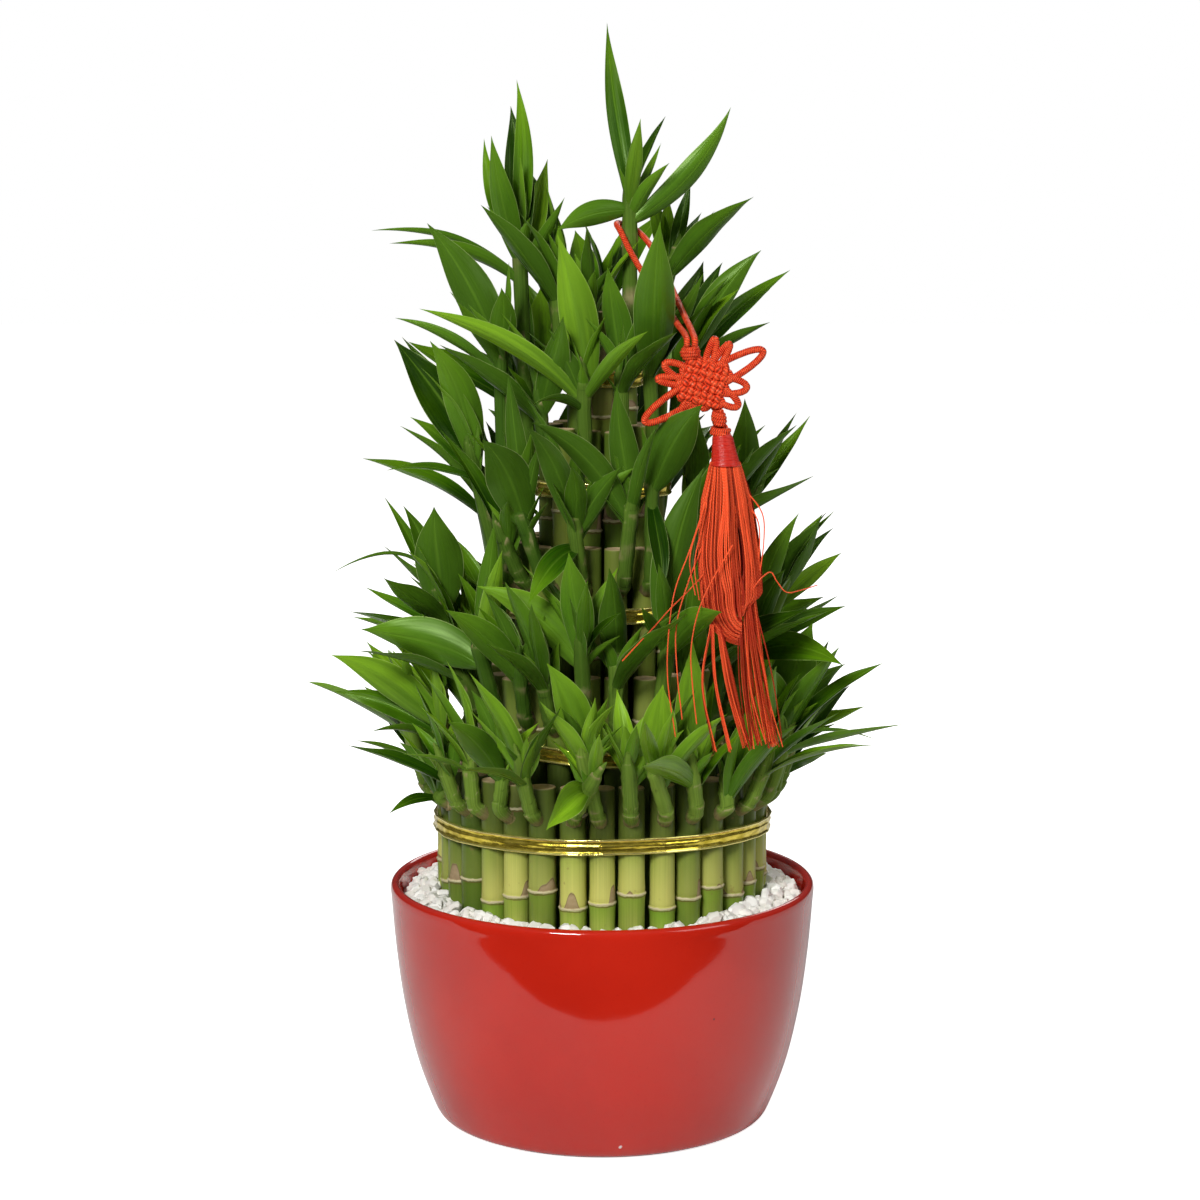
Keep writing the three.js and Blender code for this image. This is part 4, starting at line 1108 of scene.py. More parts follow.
# The front shoots, read one by one: tier, crown, and each leaf's tip, width, bow off its straight
# line, how far its face turns to the front, and its tone
FRONT_SHOOTS = (
    (1, (11.7, -15, 410), ((2, -6, 485, 9, -4, 0.9, 1), (16, -22, 444, 7, 2, 0.9, 2),
     (26, -4, 434, 4, 2, 0.6, 1), (55, -16, 449, 11, -12, 0.7, 1), (-20, -34, 395, 10, 4, 0.6, 1))),
    (1, (31, 10, 382), ((65, 6, 411, 12, 5, 0.7, 1), (39, 16, 418, 7, 2, 0.7, 0),
     (45, 26, 403, 5, 3, 0.6, 0))),
    (1, (-5, -22, 367), ((-12, -10, 396, 13, 3, 0.9, 1), (-3, -34, 381, 5, 2, 0.8, 1))),
    (2, (-36, -6, 391), ((-40, -14, 450, 13, 5, 0.9, 0), (-37, -2, 461, 9, 3, 0.9, 1),
     (-24, 6, 427, 11, -6, 0.8, 2), (-47, -22, 437, 11, -4, 0.9, 1), (-52, -6, 436, 8, -4, 0.9, 1),
     (-16, -22, 411, 6, -3, 0.6, 0), (-101, 4, 396, 5, 16, 0.4, 1), (-92, -14, 391, 9, 14, 0.5, 1))),
    (2, (-8, -36, 330), ((-19, -42, 396, 17, 8, 1, 2), (-77, -52, 365, 10, 16, 0.6, 2),
     (19, -58, 357, 7, 5, 0.6, 2), (-29, -56, 326, 5, 8, 0.6, 1))),
    (2, (20, -34, 341), ((28.5, -60, 404, 23, 2, 1, 0), (6, -30, 368, 6, 2, 0.8, 0),
     (43, -74, 380, 7.5, 2, 0.9, 0))),
    (2, (40, -4, 347), ((69, -8, 388, 13, 5, 0.8, 0), (84, 4, 378, 9, 6, 0.7, 1),
     (72, -18, 358, 6, 3, 0.6, 0), (53, 12, 382, 9, 3, 0.8, 0))),
    (3, (-44, -20, 346), ((-75, -24, 400, 18, 7, 0.9, 0), (-43, -34, 373, 12, 4, 0.9, 1),
     (-53, -12, 374, 6, 3, 0.8, 1), (-90, -14, 359, 6, 6, 0.6, 1), (-62, -38, 368, 7, 4, 0.7, 1))),
    (3, (-57, -10, 299), ((-91, -14, 349, 19, 8, 0.9, 0), (-74, -28, 350, 16, 6, 0.9, 1),
     (-89, 6, 349, 9, 5, 0.7, 0), (-86, -4, 313, 7, 4, 0.7, 1), (-94, -18, 293, 5, 6, 0.5, 1))),
    (3, (-35, -46, 278), ((-50, -58, 312, 20, 5, 1, 0), (-40, -44, 338, 9, 4, 0.8, 0),
     (-26, -60, 310, 6, 3, 0.8, 0))),
    (3, (-12, -54, 275), ((-32, -58, 328, 5, 5, 0.8, 0), (-31, -66, 319, 12, 7, 0.9, 0),
     (-13, -70, 302, 10, 4, 0.9, 0), (-31, -84, 244, 11, 10, 0.8, 1), (9, -62, 301, 7, 3, 0.7, 1))),
    (3, (12, -52, 279), ((6, -60, 334, 13, 6, 0.95, 0), (-30, -76, 320, 12, 14, 0.8, 0),
     (23, -56, 319, 6, 3, 0.8, 0))),
    (3, (21, -50, 290), ((41, -80, 328, 18, 5, 0.95, 0), (25, -74, 245, 8, 8, 0.8, 0))),
    (3, (65, -4, 278), ((84, 0, 319, 5, 4, 0.6, 0), (92, -10, 315, 8, 4, 0.7, 1),
     (62, -12, 324, 14, 4, 0.9, 0), (52, 14, 308, 9, 3, 0.8, 0))),
    (4, (-71, -12, 233), ((-73, -24, 278, 22, 4, 1, 0), (-119, -18, 247, 4, 42, 0.3, 1),
     (-98, -2, 277, 6, 4, 0.6, 1), (-89, 4, 274, 10, 5, 0.9, 0), (-93, -30, 251, 11, 4, 0.9, 1),
     (-106, 8, 238, 6, 4, 0.6, 1))),
    (4, (-53, -44, 218), ((-105, -54, 225, 20, 10, 0.95, 1), (-46, -40, 274, 10, 5, 0.8, 0),
     (-42, -58, 265, 9, 4, 0.8, 2))),
    (4, (-35, -58, 211), ((-65, -74, 243, 13, 6, 0.9, 1), (-50, -52, 246, 7, 4, 0.8, 0))),
    (4, (-9, -74, 223), ((-53, -88, 249, 15, 12, 0.9, 2), (-14, -82, 266, 14, 6, 1, 1),
     (-6, -92, 258, 6, 3, 0.8, 1), (7, -88, 256, 8, 4, 0.7, 1))),
    (4, (28, -62, 226), ((43, -58, 299, 18, 8, 0.9, 0), (22, -70, 272, 8, 4, 0.8, 0),
     (50, -84, 241, 12, 14, 0.8, 0), (16, -78, 245, 6, 4, 0.7, 1))),
    (4, (65, -26, 222), ((77, -44, 257, 12, 4, 0.9, 0), (85, -30, 276, 11, 4, 0.9, 1),
     (102, -40, 215, 13, 12, 0.8, 1), (108, -18, 232, 9, 6, 0.8, 0))),
    (4, (79, -4, 238), ((96, -10, 271, 13, 4, 0.9, 0), (100, 8, 268, 9, 4, 0.7, 1),
     (105, 20, 262, 6, 4, 0.6, 0), (109, 0, 250, 8, 4, 0.8, 2))),
    (5, (-71, -14, 183), ((-119, -20, 212, 15, 8, 0.95, 2), (-119, 0, 193, 10, 8, 0.7, 1),
     (-106, 14, 208, 7, 4, 0.6, 1), (-100, -36, 182, 5, 6, 0.6, 1))),
    (5, (-78, 16, 158), ((-110, 10, 171, 5, 6, 0.5, 1), (-95, 20, 199, 13, 5, 0.8, 1),
     (-106, 30, 183, 9, 5, 0.7, 0))),
    (5, (-69, -30, 153), ((-92, -36, 148, 5, 6, 0.6, 1), (-89, -24, 175, 8, 5, 0.7, 0))),
    (5, (-42, -62, 170), ((-64, -76, 198, 13, 6, 0.95, 1), (-56, -60, 204, 10, 4, 0.8, 0))),
    (5, (-8, -92, 181), ((-23, -98, 223, 15, 6, 1, 2), (-3, -94, 210, 6, 2, 0.8, 2))),
    (5, (-4, -94, 171), ((-23, -112, 157, 13, 8, 0.9, 2), (-1, -96, 197, 6, 2, 0.8, 2))),
    (5, (11, -92, 175), ((6, -98, 207, 9, 3, 0.9, 2), (-11, -104, 199, 5, 7, 0.7, 2),
     (14, -96, 199, 6, 2, 0.8, 1))),
    (5, (22, -88, 173), ((25, -92, 213, 16, 4, 1, 2), (17, -100, 203, 7, 3, 0.8, 2))),
    (5, (38, -74, 171), ((38, -72, 227, 14, 6, 0.9, 2), (16, -96, 183, 12, 8, 0.8, 2),
     (49, -78, 207, 7, 3, 0.8, 1))),
    (5, (53, -56, 159), ((82, -72, 193, 8, 8, 0.7, 1), (64, -64, 200, 9, 4, 0.8, 1))),
    (5, (81, -28, 184), ((91, -36, 229, 20, 6, 1, 1), (70, -44, 216, 14, 5, 0.9, 1),
     (109, -30, 204, 10, 7, 0.8, 1), (120, -24, 175, 4, 10, 0.4, 1))),
    (5, (82, -8, 163), ((102, -16, 160, 7, 6, 0.6, 1), (112, 6, 192, 8, 6, 0.7, 0),
     (102, 14, 213, 12, 5, 0.9, 1))),
)
DEPTH_SHIFTS = (0, 5, -5, 10, -10, 16, -16, 24, -24, 34)
# Leaves that pass the cord or a neighbour too closely for the solids: the shoot's crown, the leaf's
# numbers as above, and its place down the stem
CLOSE_LEAVES = (
    ((20, -34, 341), (23.4, -90, 402.5, 18, -8, 1, 1), 1),
    ((11.7, -15, 410), (-19.3, -30, 396.8, 11, 5, 0.8, 1), 0),
    ((28, -62, 226), (48.8, -108, 244.9, 13, 8, 0.9, 1), 2),
)


@dataclass(frozen=True)
class Blade:
    """One leaf, from its root inside the stem to its tip."""

    root: Array
    tip: Array
    width: float
    bow: float
    face: Array
    outward: Array
    tone: float
    key: tuple[int, ...]

    stations = 20
    points_across = 9
    thick = 0.3
    fold = 0.36
    crease = 0.32
    sway = 0.045
    twist = 0.5
    ripple = 0.10
    # The stalk's half width, how far the leaf is folded round the stem, and the share of it that is
    stalk = 1.5
    clasp = 1.2
    clasp_reach = 0.1

    def rings(self) -> Skinned:
        """The leaf's rings and marks.

        The middle line is a bow from root to tip that sways a little sideways. Half the width is
        width/2 * sin(pi s^0.88)^(0.7 + 0.5 s), plus a narrow stalk at the root. The section is an arc,
        edges up and creased at the middle, that closes round the stem at the root, and it turns and
        ripples along the leaf.
        """
        chord = self.tip - self.root
        along = unit(chord)
        rise = leaf_rise(along, self.outward)
        middle = (self.root + self.tip) / 2 + rise * self.bow
        s = np.linspace(0, 1, self.stations + 1)[:-1, None]
        line = (1 - s) ** 2 * self.root + 2 * s * (1 - s) * middle + s**2 * self.tip
        tangent = unit(2 * (1 - s) * (middle - self.root) + 2 * s * (self.tip - middle))
        normal = squared(self.face, tangent)
        side = np.cross(tangent, normal)
        sway, twist, ripple = (draw(*self.key, salt) for salt in (Salt.SWAY, Salt.TWIST, Salt.RIPPLE))
        line = line + side * spread(self.sway, sway) * np.linalg.norm(chord) * np.sin(np.pi * s) * s
        turn = spread(self.twist, twist) * s**2
        c, k = np.cos(turn), np.sin(turn)
        normal, side = normal * c + side * k, side * c - normal * k
        near_stem = hump(s, 0.0, self.clasp_reach)
        half = self.width / 2 * np.sin(np.pi * s**0.88) ** (0.7 + 0.5 * s) + self.stalk * near_stem
        fold = self.fold + self.clasp * near_stem
        upper = np.sin(np.linspace(-np.pi / 2, np.pi / 2, self.points_across))
        t = np.concatenate([upper, upper[-2:0:-1]])
        face_side = np.concatenate([np.ones(self.points_across), -np.ones(self.points_across - 2)])
        wave = self.ripple * half * np.sin(2 * np.pi * (1.5 + 1.5 * ripple) * s + 9 * ripple + 0.8 * t) * t**2
        x = half * np.sin(fold * t) / fold
        crease = self.crease * half * (np.sqrt(t**2 + 0.01) - 0.1) * np.sin(np.pi * s)
        y = half * (np.cos(fold) - np.cos(fold * t)) / fold + wave * s + crease
        y = y + face_side * self.thick * np.sqrt(np.maximum(1 - t**2, 0)) * (1 - 0.6 * s)
        rings = line[:, None] + x[..., None] * side[:, None] + y[..., None] * normal[:, None]
        leaf = np.array([self.tone, draw(*self.key, Salt.TONE), 0.0])
        return rings, {"blade": stacked(t, s, face_side * 0.5 + 0.5), "leaf": leaf}


def leaf_rise(along: Array, outward: Array) -> Array:
    """The direction square to a leaf's chord in which it bows: upward and a little inward."""
    return squared(UP - along * along[2] - 0.15 * outward, along)


# How pale the outer ring's front canes are, from green to cream, by their ring and number, left to right
FRONT_CANES = {(4, 27): 0.2, (4, 28): 0.12, (4, 29): 0.05, (4, 30): 0.4, (4, 31): 0.85, (4, 32): 0.22,
               (4, 0): 1.0, (4, 1): 0.8, (4, 2): 0.5, (4, 3): 0.65, (4, 4): 0.18, (4, 5): 0.3, (4, 6): 0.25,
               (4, 7): 0.3, (4, 8): 0.35}


@dataclass(frozen=True)
class Cane:
    """One cane: its place about the tower, its joint, its cut top and what its draws depend on."""

    tier: Tier
    angle: float
    ring: float
    joint: float
    top: float
    key: tuple[int, int]

    foot = 24.3
    sides = 18
    spacing = (38, 54)
    girth = (0.86, 0.95)
    # Rings about a joint, and at the cut top: height over it, share of the radius and how bare it is
    joint_rings = np.array([-8, -3.4, -2.0, -1.1, -0.5, 0, 0.45, 0.9, 1.6, 3.0, 7])
    top_rings = np.array([(-0.2, 0.985, 0.25), (0.0, 0.93, 1), (-0.35, 0.84, 1), (-0.5, 0.45, 1)])
    # The swelling at a joint, the ridge on it and the groove above: size, height and reach
    relief = ((0.42, 0.0, 2.6), (0.34, -0.1, 0.5), (-0.26, 0.9, 0.45))
    # How far from round it is, as shares of its radius with their counts
    lumps = ((0.018, 2), (0.010, 3))
    # Rings halfway between two joints
    halfway = np.array([-0.01, 0.01])
    # How far below its top the skin's last rings and the last joint are, and where no joint is near
    last_rings = np.array([5, 0.8])
    last_joint = 9
    far = 30.0

    def rings(self) -> Skinned:
        """The cane's rings and marks.

        Round, a little narrower between joints. At each joint it swells by 0.4 mm, with a thin
        raised ridge at the joint and a groove above it. The top is cut flat and a little hollow.
        """
        gap = between(self.spacing, draw(*self.key, Salt.SPACING))
        joints = self.joint + gap * np.arange(-4, 4)
        joints = joints[(joints > self.tier.bare) & (joints < self.top - self.last_joint)][:, None]
        about = np.hstack([joints + self.joint_rings, joints + gap / 2 + self.halfway])
        heights = np.unique([self.foot, self.tier.bare - 6, *about.ravel(), *(self.top - self.last_rings)])
        heights = heights[heights <= self.top - self.last_rings[-1]]
        near = heights[:, None] - (joints.T if len(joints) else np.array([[-1e3]]))
        h = near[np.arange(len(heights)), np.abs(near).argmin(1)]
        swell = sum(size * hump(h, middle, reach) for size, middle, reach in self.relief)
        base = self.tier.cane / 2 * between(self.girth, draw(*self.key, Salt.GIRTH))
        lift, share, bare = self.top_rings.T
        radii = np.concatenate([base + swell, base * share])
        z = np.concatenate([heights, self.top + lift])[:, None]
        cut = np.concatenate([np.zeros(len(heights)), bare])[:, None]
        h = np.concatenate([np.clip(h, -self.far, self.far), np.full(len(bare), self.far)])[:, None]
        a = turns(self.sides)
        phase = 7 * draw(*self.key, Salt.TONE)
        wide = radii[:, None] * wavy(1.0, a, phase, *self.lumps)
        x, y, _ = around(self.angle, self.ring, 0.0)
        # The inner rings' canes get the darker span of tones: painted shade of the foliage round them; within
        # each span the tone differs at random
        tone = between(self.tier.pick((0.0, 0.34), (0.3, 1.0)), draw(*self.key, Salt.TONE) ** 1.3)
        tone = FRONT_CANES.get(self.key, tone)
        turn = a / (2 * np.pi)
        return (stacked(x + wide * np.cos(a), y + wide * np.sin(a), z),
                {"cane": stacked(h, cut, tone),
                 "skin": stacked(np.minimum(turn, 1 - turn) * 2, z * MM, draw(*self.key, Salt.SWAY))})


@dataclass(frozen=True)
class Habit:
    """How the leaves of a kind stand, as shares of their length, and their greens inside and outside, darker
    inside: partly painted shade of the foliage.
    """

    roll: float
    width: Span
    bow: Span
    inner: Span
    outer: Span


GROWN = Habit(0.75, (0.15, 0.26), (0.04, 0.16), (0.0, 0.6), (0.12, 0.88))
YOUNG = Habit(1.1, (0.15, 0.24), (0.05, 0.18), (0.0, 0.7), (0.3, 1.0))


@dataclass(frozen=True)
class Shoot:
    """A leafy shoot: its stem leaves the cane sideways and turns up to the crown."""

    cane: Cane
    foot: Array
    elbow: Array
    crown: Array
    outward: Array
    leaves: tuple | None

    # The foot's height over the ribbon, how deep it is in the cane, and how far out and up the elbow is
    foot_rise = 9
    foot_sink = 5.2
    elbow_out = 4.2
    elbow_rise = 5.0
    stem_radius = 3.3
    stem_sides = 12
    corners = 4
    # How far below the crown the first leaf starts and each later one more, and how far behind the middle
    root_sink = (4.5, 2)
    root_back = 1.4
    # How far a crown of the rule turns from its cane, its leaves' headings and their scatter, and how
    # much shorter each try is
    crown_turn = 3
    sector = 80
    heading_scatter = 25
    shorter = 0.03
    tone_scatter = 0.17
    young_count = 5
    young_first = 40
    young_pitch = (44, 80)
    young_turn = 105
    young_length = (22, 50)
    spear = 15.0
    spear_lean = 1.6
    # How far the stem runs straight from the elbow: at most, and as a share of the way to the crown
    straight = (5.0, 0.4)
    sheath = 7.5
    sheath_inset = 0.45
    sheath_step = 0.7
    sheath_slant = 0.3
    point = 0.1

    @classmethod
    def grown(cls, cane: Cane, crown: Array, leaves: tuple | None) -> "Shoot":
        """A shoot from a cane to a crown, turned to the crown as far as its neighbours leave room.

        Args:
            cane: The cane that it grows from.
            crown: Where its leaves part.
            leaves: Its leaves if they were read, or None for a shoot that follows the rule.

        Returns:
            The shoot.
        """
        tier = cane.tier
        middle = around(cane.angle, tier.ring, tier.band_height(cane.angle) + cls.foot_rise)
        to_crown = math.degrees(math.atan2(crown[0] - middle[0], middle[1] - crown[1]))
        heading = cane.angle + min(max(signed(to_crown - cane.angle), -tier.turn), tier.turn)
        radius = tier.cane / 2
        return cls(cane, middle + around(heading, radius - cls.foot_sink, 0.0),
                   middle + around(heading, radius + cls.elbow_out, cls.elbow_rise),
                   crown, around(cane.angle, 1.0, 0.0), leaves)

    @classmethod
    def by_rule(cls, cane: Cane, attempt: int) -> "Shoot":
        """One of the tries for a cane that has none of the front shoots.

        Args:
            cane: The cane that it grows from.
            attempt: The number of the try.

        Returns:
            The shoot.
        """
        tier, keys = cane.tier, (*cane.key, attempt)
        z = tier.band_height(cane.angle) + cls.foot_rise + between(tier.rise, draw(*keys, Salt.RISE))
        lean = between(tier.lean, draw(*keys, Salt.LEAN))
        angle = cane.angle + spread(cls.crown_turn, draw(*keys, Salt.TURN))
        return cls.grown(cane, around(angle, tier.ring + tier.cane / 2 + lean, z), None)

    def crown_ring(self) -> Array:
        """The four corners of the stem's solid at its crown."""
        up = unit(self.crown - self.elbow)
        x = squared(UP - (self.elbow - self.foot), up)
        y = np.cross(up, x)
        a = (np.arange(self.corners)[:, None] + 0.5) / self.corners * 2 * np.pi
        return self.crown + self.stem_radius * (np.cos(a) * x + np.sin(a) * y)

    def leaf_root(self, order: int, heading: Array) -> Array:
        """Where a leaf starts: below the crown, behind the stem's middle line.

        Args:
            order: The leaf's place down the stem.
            heading: The way that it points.

        Returns:
            The point.
        """
        down = self.elbow - self.crown
        first, each = self.root_sink
        sink = min(first + each * order, float(np.linalg.norm(down)))
        down = unit(down)
        return self.crown + down * sink - squared(heading, down) * self.root_back

    def read_leaf(self, numbers: tuple, order: int, shift: float) -> Blade:
        """A leaf from its numbers, moved back or forward.

        Args:
            numbers: Its tip, width, bow, turn and tone.
            order: Its place down the stem.
            shift: How far its tip is moved back.

        Returns:
            The leaf.
        """
        x, y, z, width, bow, turn, tone = numbers
        tip = np.array([x, y + shift, z], float)
        root = self.leaf_root(order, tip - self.crown)
        along = unit(tip - root)
        rise = leaf_rise(along, self.outward)
        to_front = squared(FRONT, along)
        to_front = to_front * (1 if to_front @ rise >= 0 else -1)
        face = unit(rise * (1 - turn) + to_front * turn)
        key = (*self.cane.key, order)
        shade = TONES[tone].value + spread(self.tone_scatter, draw(*key, Salt.TONE))
        return Blade(root, tip, width, bow, face, self.outward, shade, key)

    def leaf(self, key: tuple[int, ...], order: int, length: float, pitch: float, turn: float,
             habit: Habit) -> Blade:
        """A leaf that isn't read, rolled about its own line and shaped by its habit.

        Args:
            key: What its draws depend on.
            order: Its place down the stem.
            length: From its root to its tip.
            pitch: How steeply it stands, in radians.
            turn: Its heading from the cane's own, in degrees.
            habit: The kind of leaf.

        Returns:
            The leaf.
        """
        along = around(self.cane.angle + turn, math.cos(pitch), math.sin(pitch))
        root = self.leaf_root(order, along)
        rise = leaf_rise(along, self.outward)
        roll = spread(habit.roll, draw(*key, Salt.ROLL))
        face = rise * math.cos(roll) + np.cross(along, rise) * math.sin(roll)
        return Blade(root, root + along * length, length * between(habit.width, draw(*key, Salt.WIDTH)),
                     length * between(habit.bow, draw(*key, Salt.BOW)), face, self.outward,
                     between(self.cane.tier.pick(habit.inner, habit.outer), draw(*key, Salt.TONE)), key)

    def rule_leaf(self, number: int, count: int, attempt: int) -> Blade:
        """A leaf by the tier's rule, for one try.

        Args:
            number: Its place down the stem.
            count: How many leaves the shoot has.
            attempt: The number of the try.

        Returns:
            The leaf.
        """
        tier = self.cane.tier
        key = (*self.cane.key, number, attempt)
        length = between(tier.length, draw(*key, Salt.LENGTH)) * (1 - self.shorter * attempt)
        pitch = math.radians(between(tier.pitch, (count - number - draw(*key, Salt.PITCH)) / count))
        sector = (number * 2) % count / max(count - 1, 1) - 0.5
        turn = self.sector * sector + spread(self.heading_scatter, draw(*key, Salt.HEADING))
        return self.leaf(key, number, length, pitch, turn, GROWN)

    def young_leaves(self) -> list[Blade]:
        """Small steep leaves about the crown, too slight for the solids."""
        young = []
        for number in range(self.young_count):
            key = (*self.cane.key, self.young_first + number)
            pitch = math.radians(between(self.young_pitch, draw(*key, Salt.PITCH)))
            turn = spread(self.young_turn, draw(*key, Salt.HEADING))
            length = between(self.young_length, draw(*key, Salt.LENGTH))
            young.append(self.leaf(key, number, length, pitch, turn, YOUNG))
        return young

    def stem_rings(self) -> tuple[Skinned, Array]:
        """The stem's rings, marks and tip: a smooth line from foot to crown and on to a rolled new leaf.

        Each sheath widens to its edge, where the next one starts inside it. The edges slant to one
        side and the other in turn, by 0.3 cos(a) cos(pi way / sheath). Above the crown the radius
        shrinks with the way left to the power of 0.75, to the point of the new leaf.
        """
        up = unit(self.crown - self.elbow)
        most, share = self.straight
        lift = min(most, share * float(np.linalg.norm(self.crown - self.elbow)))
        lean = draw(*self.cane.key, Salt.SWAY)
        tip = self.crown + up * self.spear + around(lean * 360, self.spear_lean, 0.0)
        line = smooth([self.foot, (self.foot + self.elbow) / 2,
                       self.elbow + up * lift * 0.25 - self.outward * 0.5, self.elbow + up * lift,
                       self.crown, self.crown + up * self.spear * 0.5, tip], 6)
        way = travelled(line)[:, None]
        above = np.clip((way - (way[-1] - self.spear)) / self.spear, 0, 1)
        a = shares(self.stem_sides)
        stage = way / self.sheath + lean
        step = (stage + self.sheath_slant * np.cos(2 * np.pi * a) * np.cos(np.pi * stage)) % 1
        radius = self.stem_radius - self.sheath_inset + self.sheath_step * step
        radius = radius * (1 - above) ** 0.75 + self.point
        rings = tube(line[:-1], radius[:-1], self.stem_sides, UP - (self.elbow - self.foot))
        # The inner rings' stems get the darker span of tones: painted shade of the foliage round them
        tone = between(self.cane.tier.pick((0.0, 0.4), (0.35, 0.9)), lean)
        way = way[:-1] * MM
        return (rings, {"sheath": stacked(step[:-1], way, tone),
                        "skin": stacked(np.minimum(a, 1 - a) * 2, way, lean)}), tip


@dataclass
class Clump:
    """Canes that grow as one clump, with their shoots and leaves."""

    name: str
    tier: Tier
    canes: list[Cane]
    shoots: list[Shoot] = field(default_factory=list)
    blades: list[Blade] = field(default_factory=list)

    def corners(self) -> KDTree:
        """The corners of the clump's solid, to find which tries it holds."""
        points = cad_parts[self.name].data.vertices
        tree = KDTree(len(points))
        for vertex in points:
            tree.insert(vertex.co, vertex.index)
        tree.balance()
        return tree

    def build(self) -> None:
        """Makes the clump's canes as one piece and its leafy shoots as another."""
        canes = Skin()
        for cane in self.canes:
            canes.add(*cane.rings())
        canes.piece(f"{self.name}_skin", [CANE_SKIN], "cane", [self.name], sharp=42)
        if not self.shoots:
            return
        green = Skin()
        empty = np.zeros(3)
        for shoot in self.shoots:
            (rings, marks), tip = shoot.stem_rings()
            green.add(rings, {**marks, "blade": empty, "leaf": empty}, finish=1, tips=(None, tip))
        for blade in self.blades:
            rings, marks = blade.rings()
            green.add(rings, {**marks, "sheath": empty, "skin": empty}, tips=(None, blade.tip))
        green.piece(f"{self.name}_leaves", [LEAF_BLADE, SHEATH], "leaf", [self.name])


@dataclass
class Tower:
    """All the clumps of canes, and which shoots and leaves the solids hold."""

    clumps: list[Clump] = field(default_factory=list)

    # How far a clump and a cane in it may be off their tier's top, the steps and scatter of the joints'
    # heights, and the top of the cane in the middle
    clump_level = 2
    cane_level = 0.5
    joint_step = 3.5
    joint_scatter = 2
    centre_top = 361.0

    def plant(self) -> None:
        """Places the canes as the solids have them."""
        for tier in TIERS:
            step = math.degrees(2 * math.asin(tier.cane / (2 * tier.ring)))
            for g in range(tier.groups):
                first = g * tier.each
                level = spread(self.clump_level, draw(tier.number, first, Salt.LEVEL))
                canes = [self.cane(tier, first + k, 360 / tier.groups * g + step * (k - (tier.each - 1) / 2),
                                   tier.ring, level) for k in range(tier.each)]
                self.clumps.append(Clump(f"tier{tier.number + 1}_canes_{g + 1}", tier, canes))
        middle = self.cane(TIERS[0], TIERS[0].groups, 0.0, 0.0, 0.0)
        self.clumps.append(Clump("centre_cane", TIERS[0], [middle]))

    def cane(self, tier: Tier, index: int, angle: float, ring: float, level: float) -> Cane:
        """One cane with its own top and joint height.

        Args:
            tier: Its ring of canes.
            index: Its number in the ring.
            angle: Where it stands.
            ring: Its distance from the axis.
            level: How much higher its clump is than the ring.

        Returns:
            The cane.
        """
        key = (tier.number, index)
        top = tier.top + level + spread(self.cane_level, draw(*key, Salt.TOP)) if ring else self.centre_top
        joint = tier.node + self.joint_step * (index % 3) + self.joint_scatter * draw(*key, Salt.JOINT)
        return Cane(tier, angle, ring, joint, top, key)

    def grow(self) -> None:
        """Gives each cane its shoot and each shoot the leaves that stand in the solids."""
        free = [(clump, cane) for clump in self.clumps for cane in clump.canes if cane.ring > 0]
        for number, crown, leaves in FRONT_SHOOTS:
            crown = np.array(crown, float)
            angle = math.degrees(math.atan2(crown[0], -crown[1]))
            spots = [spot for spot in free if spot[0].tier.number == number - 1]
            spot = min(spots, key=lambda s: abs(signed(s[1].angle - angle)))
            free.remove(spot)
            spot[0].shoots.append(Shoot.grown(spot[1], crown, leaves))
        trees = {clump.name: clump.corners() for clump in self.clumps}
        for clump, cane in free:
            tries = [Shoot.by_rule(cane, attempt) for attempt in range(TRIES)]
            held = [self.held(trees[clump.name], one.crown_ring()) for one in tries]
            if max(held) > 0:
                clump.shoots.append(tries[held.index(max(held))])
        for clump in self.clumps:
            for shoot in clump.shoots:
                clump.blades += self.leaves_of(shoot, trees[clump.name]) + shoot.young_leaves()
                clump.blades += [shoot.read_leaf(numbers, place, 0) for crown, numbers, place in CLOSE_LEAVES
                                 if tuple(shoot.crown) == crown]

    def leaves_of(self, shoot: Shoot, tree: KDTree) -> list[Blade]:
        """The leaves of a shoot whose tips are corners of the solid.

        Args:
            shoot: The shoot.
            tree: The corners of its clump's solid.

        Returns:
            Of each leaf the first try that the solid holds.
        """
        if shoot.leaves:
            steepness = [float(unit(np.array(n[:3], float) - shoot.crown)[2]) for n in shoot.leaves]
            order = sorted(range(len(steepness)), key=lambda k: -steepness[k])
            tries = [[shoot.read_leaf(shoot.leaves[k], place, shift) for shift in DEPTH_SHIFTS]
                     for place, k in enumerate(order)]
        else:
            tier = shoot.cane.tier
            share = draw(*shoot.cane.key, Salt.COUNT)
            count = math.floor(between(tier.leaves, share) + 0.5)
            tries = [[shoot.rule_leaf(number, count, attempt) for attempt in range(TRIES)]
                     for number in range(count)]
        found = [next((b for b in row if self.held(tree, b.tip[None])), None) for row in tries]
        return [blade for blade in found if blade is not None]

    @staticmethod
    def held(tree: KDTree, points: Array) -> int:
        """How many of the points are corners of the solid."""
        return sum(tree.find(tuple(point * MM))[2] < NEAR_ENOUGH for point in points)

    def build(self) -> None:
        """Plants, grows and makes every clump."""
        self.plant()
        self.grow()
        log.info("%d shoots and %d leaves", sum(len(c.shoots) for c in self.clumps),
                 sum(len(c.blades) for c in self.clumps))
        for clump in self.clumps:
            clump.build()


